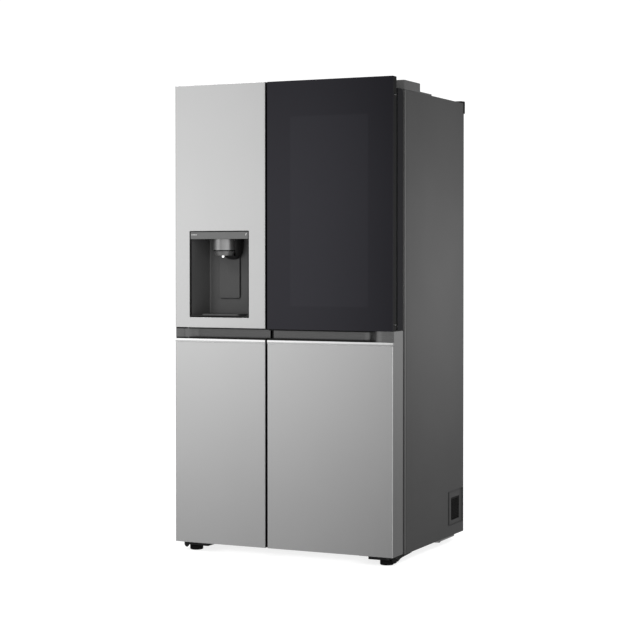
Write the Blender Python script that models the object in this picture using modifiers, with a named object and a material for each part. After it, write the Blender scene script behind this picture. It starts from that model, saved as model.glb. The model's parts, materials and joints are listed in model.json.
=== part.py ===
"""Side by side refrigerator: an insulated cabinet on feet and rollers, a freezer door with a
dispenser, and a fridge door that carries a second, glazed door of its own.

Metres, +Z up. The origin is on the floor, in the middle of the whole refrigerator's footprint.
The doors face -Y, and the freezer is at -X.
"""
import math

import bmesh
import bpy
from mathutils import Matrix, Vector

# Driving dimensions
WIDTH = 0.908                 # over the case and the doors
HEIGHT = 1.790                # floor to the top of the doors
DEPTH = 0.745                 # door front to the rear spacers
DOOR_THICKNESS = 0.096
SEAL_SPACE = 0.014            # between a door and the case, filled by its gasket
CASE_DEPTH = 0.625
CASE_TOP = 1.750
CASE_BOTTOM = 0.033
DOOR_BOTTOM = 0.037
FREEZER_EDGE = -0.0668        # free edge of the freezer door
FRIDGE_EDGE = -0.0580         # free edge of the fridge door
HINGE_INSET = 0.028           # door pin from the case side
HINGE_DEPTH = 0.054           # door pin behind the door front
OUTER_DOOR_DEPTH = 0.041      # glass and frame of the outer fridge door
INNER_DOOR_DEPTH = 0.043      # front of the inner fridge door behind it
RECESS_BOTTOM = 0.823         # handle recess across both doors
RECESS_TOP = 0.864
RECESS_DEPTH = 0.045
TRIM_BOTTOM = 0.808
NICHE_X = (-0.391, -0.135)
NICHE_Z = (0.903, 1.233)
NICHE_CEILING = 1.202
NICHE_FLOOR = 0.9095
NICHE_DEPTH = 0.090
NOZZLE_X = -0.263
NOZZLE_DEPTH = 0.046

SHEET = 0.0012                # steel sheet
GAP = 0.0003                  # between touching pieces
LINER_WALL = 0.0015
TRAY_WALL = 0.003
PIN_RADIUS = 0.005
BORE_RADIUS = 0.0053
SMALL_PIN = 0.003
SMALL_BORE = 0.0033
ROUND_SIDES = 16
OVERCUT = 0.02                # how far a cut runs past the face it opens

SIDE = WIDTH / 2
FRONT = -DEPTH / 2
PIN_X = SIDE - HINGE_INSET
DIVIDER = (FREEZER_EDGE + FRIDGE_EDGE) / 2


def at_depth(distance):
    """Y of a plane this far behind the front of the doors."""
    return FRONT + distance


DOOR_BACK = at_depth(DOOR_THICKNESS)
CASE_FRONT = at_depth(DOOR_THICKNESS + SEAL_SPACE)
CASE_BACK = CASE_FRONT + CASE_DEPTH
PIN_Y = at_depth(HINGE_DEPTH)

# Inside the cabinet
FREEZER_ROOM_X = (-0.404, -0.097)
FRIDGE_ROOM_X = (-0.027, 0.404)
ROOM_BOTTOM = 0.100
ROOM_TOP = 1.690
ROOM_BACK = at_depth(0.675)
STEP_TOP = 0.315              # the rooms step forward over the machine space
STEP_BACK = at_depth(0.465)
MACHINE_FRONT = at_depth(0.515)
MACHINE_TOP = 0.262
VENT_DISH = 0.006             # depth of the pressed vent recess in each side
FLANGE = 0.022                # folds at the front of the case panels
DRAWER_FRONT = 0.235          # drawers and crispers, behind the door front
DRAWER_GAP = 0.006            # to each side of a drawer
DRAWER_WALL = 0.008           # front wall of a drawer

# Under the cabinet
BASE_Z = (0.0525, 0.0552)     # the base plate
ROLLER_DEPTH = 0.605
ROLLER_X = 0.390
ROLLER_RADIUS = 0.020
ROLLER_HALF = 0.013
FOOT_X = 0.401
FOOT_DEPTH = 0.071
FOOT_RADIUS = 0.0255
FOOT_TOP = 0.0165
FOOT_SCREW = 0.006
BRACKET_Z = (0.0285, 0.0327)

# Doors
TRIM_DEPTH = 0.012
POCKET_BACK = 0.0535          # rear of the handle pocket
SIDE_LIP = 0.0115             # front edge of the steel side beside the handle recess
SEAL_Z = (0.062, 1.722)
SEAL_WIDTH = 0.014
PADDLE_DEPTH = 0.0875         # dispenser paddle pivot
PADDLE_TOP = 1.1520
PADDLE_HALF = 0.044
OUTER_PIN_X = 0.440           # pins of the glass door
OUTER_PIN_DEPTH = 0.024
OUTER_DOOR_Z = (0.862, HEIGHT)
ARM_LEVELS = (0.885, 1.725)   # hinge arms of the glass door
ARM_HALF = 0.0015
WINDOW_X = (0.039, 0.355)
WINDOW_Z = (0.950, 1.656)

# Finishes: colour, roughness, metallic
FINISHES = {
    "steel": ((0.60, 0.60, 0.61), 0.35, 1.0),
    "bright": ((0.80, 0.80, 0.81), 0.15, 1.0),
    "case_grey": ((0.12, 0.12, 0.12), 0.45, 0.3),
    "zinc": ((0.45, 0.46, 0.47), 0.45, 1.0),
    "black_plastic": ((0.012, 0.012, 0.013), 0.45, 0.0),
    "dark_plastic": ((0.05, 0.05, 0.053), 0.35, 0.0),
    "recess_grey": ((0.10, 0.10, 0.105), 0.25, 0.6),
    "foam": ((0.62, 0.58, 0.42), 0.9, 0.0),
    "white_plastic": ((0.82, 0.83, 0.84), 0.35, 0.0),
    "clear_plastic": ((0.75, 0.80, 0.84), 0.15, 0.0),
    "seal_grey": ((0.20, 0.20, 0.21), 0.7, 0.0),
    "black_glass": ((0.018, 0.018, 0.022), 0.05, 0.0),
    "display_grey": ((0.13, 0.13, 0.135), 0.25, 0.0),
    "silver_plastic": ((0.42, 0.42, 0.43), 0.3, 0.4),
    "aluminium": ((0.7, 0.7, 0.7), 0.4, 1.0),
    "black_paint": ((0.015, 0.015, 0.015), 0.5, 0.0),
}


def clear_scene():
    for item in list(bpy.data.objects):
        bpy.data.objects.remove(item, do_unlink=True)


def new_collection(name):
    group = bpy.data.collections.new(name)
    bpy.context.scene.collection.children.link(group)
    return group


clear_scene()
PARTS = new_collection("side_by_side_refrigerator")
CUTTERS = new_collection("cutters")


def finish_material(name, finish):
    colour, roughness, metallic = FINISHES[finish]
    material = bpy.data.materials.new(name)
    material.use_nodes = True
    shader = material.node_tree.nodes["Principled BSDF"]
    shader.inputs["Base Color"].default_value = (*colour, 1.0)
    shader.inputs["Roughness"].default_value = roughness
    shader.inputs["Metallic"].default_value = metallic
    return material


# Simple solids, each a mesh in world coordinates
def mesh_from(work):
    mesh = bpy.data.meshes.new("shape")
    work.to_mesh(mesh)
    work.free()
    return mesh


def place_cube(work, x, y, z):
    """Add a cube and move its corners exactly onto the given spans."""
    for corner in bmesh.ops.create_cube(work, size=1.0)["verts"]:
        corner.co = Vector([span[1] if side > 0 else span[0] for span, side in zip((x, y, z), corner.co)])


def box(x, y, z):
    """A box from three (low, high) pairs."""
    return boxes([(x, y, z)])


def boxes(ranges):
    """Several separate boxes in one mesh, to cut a row of slots at once."""
    work = bmesh.new()
    for x, y, z in ranges:
        place_cube(work, x, y, z)
    return mesh_from(work)


def rod(axis, centre, radius, span, sides=ROUND_SIDES):
    """A cylinder along X, Y or Z, with its span given along that axis."""
    turn = {
        "X": Matrix.Rotation(math.radians(90), 4, "Y"),
        "Y": Matrix.Rotation(math.radians(90), 4, "X"),
        "Z": Matrix.Identity(4),
    }[axis]
    work = bmesh.new()
    bmesh.ops.create_cone(work, cap_ends=True, segments=sides, radius1=radius, radius2=radius,
                          depth=span[1] - span[0])
    bmesh.ops.transform(work, matrix=turn, verts=work.verts)
    place = list(centre)
    place["XYZ".index(axis)] = (span[0] + span[1]) / 2
    bmesh.ops.translate(work, vec=Vector(place), verts=work.verts)
    return mesh_from(work)


def rounded_upright(mesh, x, y, radius):
    """Round the one vertical edge of a box that stands at (x, y)."""
    work = bmesh.new()
    work.from_mesh(mesh)
    corner = [e for e in work.edges
              if all(abs(v.co.x - x) < GAP and abs(v.co.y - y) < GAP for v in e.verts)]
    bmesh.ops.bevel(work, geom=corner, offset=radius, segments=4, profile=0.5, affect="EDGES")
    work.to_mesh(mesh)
    work.free()
    return mesh


def narrowed(mesh, y_line, inset):
    """Draw a box's sides in by this much behind a plane, so it narrows towards its back."""
    middle = sum(v.co.x for v in mesh.vertices) / len(mesh.vertices)
    for vertex in mesh.vertices:
        if vertex.co.y > y_line:
            vertex.co.x += inset if vertex.co.x < middle else -inset
    return mesh


def helper(mesh, name):
    item = bpy.data.objects.new(name, mesh)
    item.hide_render = True
    item.display_type = "WIRE"
    CUTTERS.objects.link(item)
    return item


def combine(part, mesh, operation):
    modifier = part.modifiers.new(operation.lower(), "BOOLEAN")
    modifier.operation = operation
    modifier.object = helper(mesh, part.name + "_" + operation.lower())


def round_edges(part, width, segments=2):
    modifier = part.modifiers.new("round", "BEVEL")
    modifier.width = width
    modifier.segments = segments
    modifier.limit_method = "ANGLE"


def solid(name, finish, base, joins=(), cuts=(), bevel=0.0, origin=(0, 0, 0)):
    """One sub-part: a base solid, with solids joined to it and cut from it."""
    base.transform(Matrix.Translation(-Vector(origin)))
    part = bpy.data.objects.new(name, base)
    part.location = origin
    part.data.materials.append(finish_material(name, finish))
    PARTS.objects.link(part)
    if bevel:
        round_edges(part, bevel)
    for mesh in joins:
        combine(part, mesh, "UNION")
    for mesh in cuts:
        combine(part, mesh, "DIFFERENCE")
    return part


def turned(name, finish, profile, origin, tilt=(0, 0, 0), sides=ROUND_SIDES):
    """A turned solid. The profile of (radius, height) runs from the top down to the bottom."""
    mesh = bpy.data.meshes.new(name)
    points = [(radius, 0, height) for radius, height in profile]
    edges = [(i, i + 1) for i in range(len(points) - 1)]
    mesh.from_pydata(points, edges, [])
    part = bpy.data.objects.new(name, mesh)
    part.location = origin
    part.rotation_euler = tilt
    part.data.materials.append(finish_material(name, finish))
    PARTS.objects.link(part)
    screw = part.modifiers.new("turn", "SCREW")
    screw.steps = sides
    screw.render_steps = sides
    screw.use_merge_vertices = True
    screw.merge_threshold = 0.00001
    return part


def outline_plate(name, finish, points, z):
    """A flat outline of (x, y) points, as thick as the span z."""
    curve = bpy.data.curves.new(name, "CURVE")
    curve.dimensions = "2D"
    curve.fill_mode = "BOTH"
    curve.extrude = (z[1] - z[0]) / 2
    spline = curve.splines.new("POLY")
    spline.points.add(len(points) - 1)
    for point, (x, y) in zip(spline.points, points):
        point.co = (x, y, 0, 1)
    spline.use_cyclic_u = True
    part = bpy.data.objects.new(name, curve)
    part.location = (0, 0, (z[0] + z[1]) / 2)
    part.data.materials.append(finish_material(name, finish))
    PARTS.objects.link(part)
    return part


def spread(start, end, count):
    """Centres of count equal cells between start and end."""
    step = (end - start) / count
    return [start + step * (i + 0.5) for i in range(count)]


def sided(sign, inner, outer):
    """An X span on the left (-1) or right (+1) half, in rising order."""
    return tuple(sorted((sign * inner, sign * outer)))


def ring_cut(x, y, z, width):
    """The hole of a rectangular ring that is this wide, through its whole depth."""
    return box((x[0] + width, x[1] - width), (y[0] - 0.01, y[1] + 0.01), (z[0] + width, z[1] - width))


# Cabinet
def side_panel(name, sign):
    inner = SIDE - SHEET
    recess_y = (at_depth(0.567), CASE_BACK - 0.009)
    recess_z = (0.075, 0.208)
    floor = SIDE - VENT_DISH
    window_y = (at_depth(0.610), at_depth(0.702))
    window_z = (0.090, 0.181)
    case_z = (CASE_BOTTOM, CASE_TOP)
    flange = box(sided(sign, SIDE - FLANGE, SIDE), (CASE_FRONT, CASE_FRONT + SHEET), case_z)
    boss = box(sided(sign, floor - SHEET, SIDE - SHEET / 2), (recess_y[0] - SHEET, recess_y[1] + SHEET),
               (recess_z[0] - SHEET, recess_z[1] + SHEET))
    dish = box(sided(sign, floor, SIDE + 0.01), recess_y, recess_z)
    window = box(sided(sign, floor - 0.01, SIDE), window_y, window_z)
    solid(name, "case_grey", box(sided(sign, inner, SIDE), (CASE_FRONT, CASE_BACK), case_z),
          joins=[flange, boss], cuts=[dish, window])


def vent_grille(name, sign):
    floor = SIDE - VENT_DISH - SHEET
    plate_y = (at_depth(0.606), at_depth(0.706))
    plate_z = (0.086, 0.185)
    slots = []
    for y in spread(at_depth(0.612), at_depth(0.700), 3):
        for z in spread(0.092, 0.179, 11):
            slots.append((sided(sign, floor - 0.01, floor + 0.01), (y - 0.0115, y + 0.0115),
                          (z - 0.0024, z + 0.0024)))
    solid(name, "black_plastic", box(sided(sign, floor - GAP - 0.002, floor - GAP), plate_y, plate_z),
          cuts=[boxes(slots)])


def build_case():
    side_panel("side_panel_left", -1)
    side_panel("side_panel_right", 1)
    vent_grille("vent_grille_left", -1)
    vent_grille("vent_grille_right", 1)
    inside = SIDE - SHEET - GAP
    top_flange = box((-(SIDE - FLANGE - GAP), SIDE - FLANGE - GAP), (CASE_FRONT, CASE_FRONT + SHEET),
                     (CASE_TOP - FLANGE, CASE_TOP))
    solid("top_panel", "case_grey",
          box((-inside, inside), (CASE_FRONT + SHEET + GAP, CASE_BACK), (CASE_TOP - SHEET, CASE_TOP)),
          joins=[box((-(SIDE - FLANGE - GAP), SIDE - FLANGE - GAP), (CASE_FRONT, CASE_FRONT + 0.01),
                     (CASE_TOP - SHEET, CASE_TOP)), top_flange])
    solid("back_panel", "zinc",
          box((-inside, inside), (CASE_BACK - SHEET, CASE_BACK),
              (MACHINE_TOP + GAP, CASE_TOP - SHEET - GAP)))
    foam_y = (CASE_FRONT + LINER_WALL + GAP, CASE_BACK - SHEET - GAP)
    foam_cuts = []
    for span in (FREEZER_ROOM_X, FRIDGE_ROOM_X):
        wide = (span[0] - GAP, span[1] + GAP)
        foam_cuts.append(box(wide, (CASE_FRONT - OVERCUT, ROOM_BACK + GAP), (STEP_TOP - GAP, ROOM_TOP + GAP)))
        foam_cuts.append(box(wide, (CASE_FRONT - OVERCUT, STEP_BACK + GAP),
                             (ROOM_BOTTOM - GAP, STEP_TOP + OVERCUT)))
    foam_cuts.append(box((-WIDTH, WIDTH), (MACHINE_FRONT, CASE_BACK + OVERCUT), (0.0, MACHINE_TOP)))
    solid("cabinet_foam", "foam",
          box((-inside, inside), foam_y, (BASE_Z[1] + GAP, CASE_TOP - SHEET - GAP)), cuts=foam_cuts)
    flange_z = (BASE_Z[1] + GAP, CASE_TOP - FLANGE - GAP)
    liner("freezer_liner", FREEZER_ROOM_X, (-(SIDE - FLANGE - GAP), DIVIDER - GAP), flange_z)
    liner("fridge_liner", FRIDGE_ROOM_X, (DIVIDER + GAP, SIDE - FLANGE - GAP), flange_z)


def liner(name, room_x, flange_x, flange_z):
    inner_x = (room_x[0] + LINER_WALL, room_x[1] - LINER_WALL)
    flange = box(flange_x, (CASE_FRONT, CASE_FRONT + LINER_WALL), flange_z)
    lower = box(room_x, (CASE_FRONT, STEP_BACK), (ROOM_BOTTOM, STEP_TOP + OVERCUT))
    upper_room = box(inner_x, (CASE_FRONT - OVERCUT, ROOM_BACK - LINER_WALL),
                     (STEP_TOP + LINER_WALL, ROOM_TOP - LINER_WALL))
    lower_room = box(inner_x, (CASE_FRONT - OVERCUT, STEP_BACK - LINER_WALL),
                     (ROOM_BOTTOM + LINER_WALL, STEP_TOP + OVERCUT))
    solid(name, "white_plastic", box(room_x, (CASE_FRONT, ROOM_BACK), (STEP_TOP, ROOM_TOP)),
          joins=[lower, flange], cuts=[upper_room, lower_room])


def build_base():
    inside = SIDE - SHEET - GAP
    base_y = (CASE_FRONT + SHEET + GAP, CASE_BACK - 0.003)
    base = box((-inside, inside), base_y, BASE_Z)
    joins = [box((-inside, inside), (base_y[0], CASE_FRONT + 0.018), (CASE_BOTTOM, BASE_Z[1]))]
    cuts = []
    for sign in (-1, 1):
        joins.append(box(sided(sign, 0.430, inside), base_y, (CASE_BOTTOM, BASE_Z[1])))
        joins.append(box(sided(sign, 0.430, inside), (at_depth(0.453), at_depth(0.635)),
                         (0.026, BASE_Z[1])))
        for cheek in (ROLLER_X - ROLLER_HALF - 0.005, ROLLER_X + ROLLER_HALF + 0.0015):
            joins.append(box(sided(sign, cheek, cheek + 0.0035),
                             (at_depth(ROLLER_DEPTH - 0.022), at_depth(ROLLER_DEPTH + 0.022)),
                             (0.012, BASE_Z[1])))
        cuts.append(rod("X", (0, at_depth(ROLLER_DEPTH), ROLLER_RADIUS), 0.0043,
                        sided(sign, ROLLER_X - 0.03, ROLLER_X + 0.03)))
    solid("base_frame", "zinc", base, joins=joins, cuts=cuts)
    for name, sign in (("roller_left", -1), ("roller_right", 1)):
        half = ROLLER_HALF
        axle = half + 0.005
        profile = [(0, axle), (0.004, axle), (0.004, half), (ROLLER_RADIUS - 0.002, half),
                   (ROLLER_RADIUS, half - 0.002), (ROLLER_RADIUS, 0.002 - half),
                   (ROLLER_RADIUS - 0.002, -half), (0.004, -half), (0.004, -axle), (0, -axle)]
        turned(name, "black_plastic", profile, (sign * ROLLER_X, at_depth(ROLLER_DEPTH), ROLLER_RADIUS),
               tilt=(0, math.radians(90), 0))
    for name, sign in (("levelling_foot_left", -1), ("levelling_foot_right", 1)):
        profile = [(0, 0.034), (FOOT_SCREW, 0.034), (FOOT_SCREW, FOOT_TOP),
                   (FOOT_RADIUS - 0.0015, FOOT_TOP), (FOOT_RADIUS, FOOT_TOP - 0.0015),
                   (FOOT_RADIUS, 0.003), (FOOT_RADIUS - 0.002, 0), (0, 0)]
        turned(name, "black_plastic", profile, (sign * FOOT_X, at_depth(FOOT_DEPTH), 0))
    slots = []
    for x in spread(-0.40, 0.40, 8):
        for z in spread(0.075, 0.235, 4):
            slots.append(((x - 0.038, x + 0.038), (CASE_BACK - OVERCUT, CASE_BACK + OVERCUT),
                          (z - 0.008, z + 0.008)))
    solid("machine_cover", "zinc",
          box((-0.446, 0.446), (CASE_BACK - 0.002, CASE_BACK), (0.036, MACHINE_TOP)),
          joins=[rod("Y", (0.405, 0, 0.048), 0.009, (CASE_BACK - 0.001, CASE_BACK + 0.008)),
                 rod("Y", (-0.405, 0, 0.048), 0.010, (CASE_BACK - 0.001, CASE_BACK + 0.009))],
          cuts=[boxes(slots)])


def build_hinges():
    for side, sign in (("left", -1), ("right", 1)):
        pin = (sign * PIN_X, PIN_Y, 0)
        foot = (sign * FOOT_X, at_depth(FOOT_DEPTH), 0)
        solid("bottom_hinge_" + side, "black_paint",
              box(sided(sign, 0.300, 0.450), (at_depth(0.044), at_depth(0.195)), BRACKET_Z),
              joins=[box(sided(sign, 0.337, 0.419), (at_depth(0.046), at_depth(0.098)), (0.0185, 0.0300)),
                     rod("Z", pin, 0.0095, (BRACKET_Z[1] - 0.002, DOOR_BOTTOM - 0.0005)),
                     rod("Z", pin, PIN_RADIUS, (BRACKET_Z[1] - 0.001, DOOR_BOTTOM + 0.020))],
              cuts=[rod("Z", foot, FOOT_SCREW + GAP, (0, 0.036))], bevel=0.0015)
        plate_z = (CASE_TOP + GAP, CASE_TOP + 0.0043)
        solid("top_hinge_" + side, "zinc",
              box(sided(sign, 0.345, 0.444), (at_depth(0.116), at_depth(0.235)), plate_z),
              joins=[box(sided(sign, 0.385, PIN_X - 0.002), (PIN_Y, at_depth(0.130)), plate_z),
                     rod("Z", pin, 0.009, plate_z),
                     rod("Z", pin, PIN_RADIUS, (CASE_TOP - 0.022, plate_z[1] - 0.001))])
        cover_z = (CASE_TOP + GAP, 1.786)
        wall = 0.002
        solid("hinge_cover_" + side, "case_grey",
              box(sided(sign, 0.324, SIDE), (CASE_FRONT, at_depth(0.268)), cover_z),
              joins=[box(sided(sign, 0.360, SIDE), (at_depth(0.260), at_depth(0.385)),
                         (CASE_TOP + GAP, CASE_TOP + 0.0055))],
              cuts=[box(sided(sign, 0.324 + wall, SIDE - wall),
                        (CASE_FRONT + wall, at_depth(0.268) - wall), (CASE_TOP - 0.01, cover_z[1] - wall)),
                    box(sided(sign, 0.380, 0.430), (CASE_FRONT - 0.01, CASE_FRONT + 0.01),
                        (CASE_TOP - 0.01, CASE_TOP + 0.006))], bevel=0.0015)
        spacer_z = (1.709, 1.758)
        solid("rear_cap_" + side, "black_plastic",
              box(sided(sign, 0.410, SIDE), (CASE_BACK + GAP, -FRONT), spacer_z),
              joins=[box(sided(sign, 0.410, SIDE), (at_depth(0.712), -FRONT),
                         (CASE_TOP + GAP, spacer_z[1]))])


def fan(name, origin, axis, radius, hub, half, blades):
    """A fan: a hub with flat blades set at an angle, turning about X or Y."""
    centre = Vector(origin)
    work = bmesh.new()
    for i in range(blades):
        made = bmesh.ops.create_cube(work, size=1.0)["verts"]
        bmesh.ops.scale(work, vec=(radius - hub / 2, radius * 0.62, 0.002), verts=made)
        bmesh.ops.rotate(work, matrix=Matrix.Rotation(math.radians(28), 3, "X"), verts=made)
        bmesh.ops.translate(work, vec=((radius + hub / 2) / 2, 0, 0), verts=made)
        bmesh.ops.rotate(work, matrix=Matrix.Rotation(math.tau * i / blades, 3, "Z"), verts=made)
    turn = Matrix.Rotation(math.radians(90), 4, {"X": "Y", "Y": "X"}[axis])
    bmesh.ops.transform(work, matrix=Matrix.Translation(centre) @ turn, verts=work.verts)
    along = origin["XYZ".index(axis)]
    solid(name, "dark_plastic", rod(axis, origin, hub, (along - half, along + half)),
          joins=[mesh_from(work)], origin=origin)


def finned_block(name, finish, x, y, z, count):
    """A heat exchanger block, grooved from its front into fins."""
    pitch = (x[1] - x[0]) / count
    grooves = []
    for centre in spread(x[0], x[1], count)[:-1]:
        edge = centre + pitch / 2
        grooves.append(((edge - pitch * 0.25, edge + pitch * 0.25), (y[0] - 0.01, y[1] - 0.012),
                        (z[0] - 0.01, z[1] + 0.01)))
    solid(name, finish, box(x, y, z), cuts=[boxes(grooves)])


def build_cooling():
    compressor_profile = [(0, 0.150), (0.030, 0.147), (0.055, 0.134), (0.068, 0.110), (0.070, 0.080),
                          (0.070, 0.045), (0.064, 0.020), (0.045, 0.006), (0, 0.0)]
    turned("compressor", "black_paint", compressor_profile, (-0.270, at_depth(0.625), 0.0560))
    finned_block("condenser", "black_paint", (0.060, 0.330), (at_depth(0.560), at_depth(0.700)),
                 (0.0560, 0.205), 12)
    fan("condenser_fan", (-0.040, at_depth(0.628), 0.140), "X", 0.068, 0.020, 0.012, 5)
    finned_block("evaporator", "aluminium", (-0.385, -0.115), (at_depth(0.620), at_depth(0.668)),
                 (0.450, 0.850), 12)
    fan("evaporator_fan", (-0.2505, at_depth(0.640), 1.050), "Y", 0.070, 0.020, 0.012, 5)
    slots = []
    for z in spread(0.985, 1.115, 6):
        slots.append(((-0.315, -0.186), (at_depth(0.590), at_depth(0.620)), (z - 0.007, z + 0.007)))
    slots.append(((-0.360, -0.141), (at_depth(0.590), at_depth(0.620)), (0.395, 0.415)))
    solid("evaporator_cover", "white_plastic",
          box((FREEZER_ROOM_X[0] + 0.002, FREEZER_ROOM_X[1] - 0.002), (at_depth(0.602), at_depth(0.606)),
              (0.3175, ROOM_TOP - 0.002)), cuts=[boxes(slots)])
    solid("ice_maker", "white_plastic",
          box((-0.394, -0.107), (at_depth(0.200), at_depth(0.595)), (1.440, 1.680)),
          cuts=[box((-0.380, -0.121), (at_depth(0.214), at_depth(0.420)), (1.452, 1.700))], bevel=0.004)


def tray(name, finish, x, y, z, origin, front_wall=TRAY_WALL):
    """An open box with thin walls, such as a drawer or a door shelf."""
    room = box((x[0] + TRAY_WALL, x[1] - TRAY_WALL), (y[0] + front_wall, y[1] - TRAY_WALL),
               (z[0] + TRAY_WALL, z[1] + 0.02))
    return solid(name, finish, box(x, y, z), cuts=[room], bevel=0.0015, origin=origin)


def build_room_fittings():
    front = at_depth(DRAWER_FRONT)
    for name, room, back_depth in (("freezer_drawer", FREEZER_ROOM_X, 0.598),
                                   ("crisper", FRIDGE_ROOM_X, 0.650)):
        span = (room[0] + DRAWER_GAP, room[1] - DRAWER_GAP)
        middle = (span[0] + span[1]) / 2
        tray(name + "_lower", "clear_plastic", span, (front, at_depth(0.460)), (0.106, 0.300),
             (middle, front, 0.106), front_wall=DRAWER_WALL)
        tray(name + "_upper", "clear_plastic", span, (front, at_depth(back_depth)), (0.330, 0.560),
             (middle, front, 0.330), front_wall=DRAWER_WALL)
    shelves = (("freezer_shelf", FREEZER_ROOM_X, 0.180, 0.598, 0.900),
               ("fridge_shelf_lower", FRIDGE_ROOM_X, 0.180, 0.650, 0.620),
               ("fridge_shelf_upper", FRIDGE_ROOM_X, 0.180, 0.650, 1.180))
    for name, span, front_depth, back_depth, level in shelves:
        inner = (span[0] + 0.003, span[1] - 0.003)
        solid(name, "clear_plastic",
              box(inner, (at_depth(front_depth + 0.012), at_depth(back_depth)), (level - 0.006, level)),
              joins=[box(inner, (at_depth(front_depth), at_depth(front_depth + 0.016)),
                         (level - 0.020, level + 0.003))])


# Doors
def recess_curve(sign, edge, ramp_start, ramp_end):
    """Plan of the handle recess back: deep at the free edge, easing up to the outer end."""
    outline = [(edge, at_depth(RECESS_DEPTH))]
    steps = 12
    for i in range(steps + 1):
        share = i / steps
        ease = share * share * (3 - 2 * share)
        x = ramp_start + (ramp_end - ramp_start) * share
        outline.append((x, at_depth(RECESS_DEPTH + (0.003 - RECESS_DEPTH) * ease)))
    outer = sign * (SIDE - SHEET - GAP)
    outline.append((outer, at_depth(0.003)))
    outline.append((outer, at_depth(POCKET_BACK)))
    outline.append((edge, at_depth(POCKET_BACK)))
    return outline


def door_pin_bores(sign):
    pin = (sign * PIN_X, PIN_Y, 0)
    return [rod("Z", pin, BORE_RADIUS, (DOOR_BOTTOM - 0.01, DOOR_BOTTOM + 0.0215)),
            rod("Z", pin, BORE_RADIUS, (CASE_TOP - 0.0235, CASE_TOP + 0.01))]


def lower_panel(name, x, sign, side_top):
    """The folded steel sheet of a door's lower half. Its outer side runs on up past the recess."""
    side_wall = box((x[0] + SHEET, x[1] - SHEET), (FRONT + SHEET, 0), (0, 1))
    trim_space = box((x[0] - 0.01, x[1] + 0.01), (FRONT - 0.01, at_depth(TRIM_DEPTH) + GAP),
                     (TRIM_BOTTOM - GAP, 1))
    side = box(sided(sign, SIDE - 2 * SHEET, SIDE), (at_depth(SIDE_LIP), DOOR_BACK - GAP),
               (RECESS_BOTTOM - 0.02, side_top))
    solid(name, "steel", box(x, (FRONT, DOOR_BACK - GAP), (DOOR_BOTTOM, RECESS_BOTTOM)),
          joins=[side], cuts=[side_wall, trim_space], bevel=0.0025)


def handle_trim(name, x):
    solid(name, "bright", box(x, (FRONT, at_depth(TRIM_DEPTH)), (TRIM_BOTTOM, RECESS_BOTTOM)),
          bevel=0.003)


def gasket(name, x, y, z, width):
    solid(name, "seal_grey", box(x, y, z), cuts=[ring_cut(x, y, z, width)])


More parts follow.
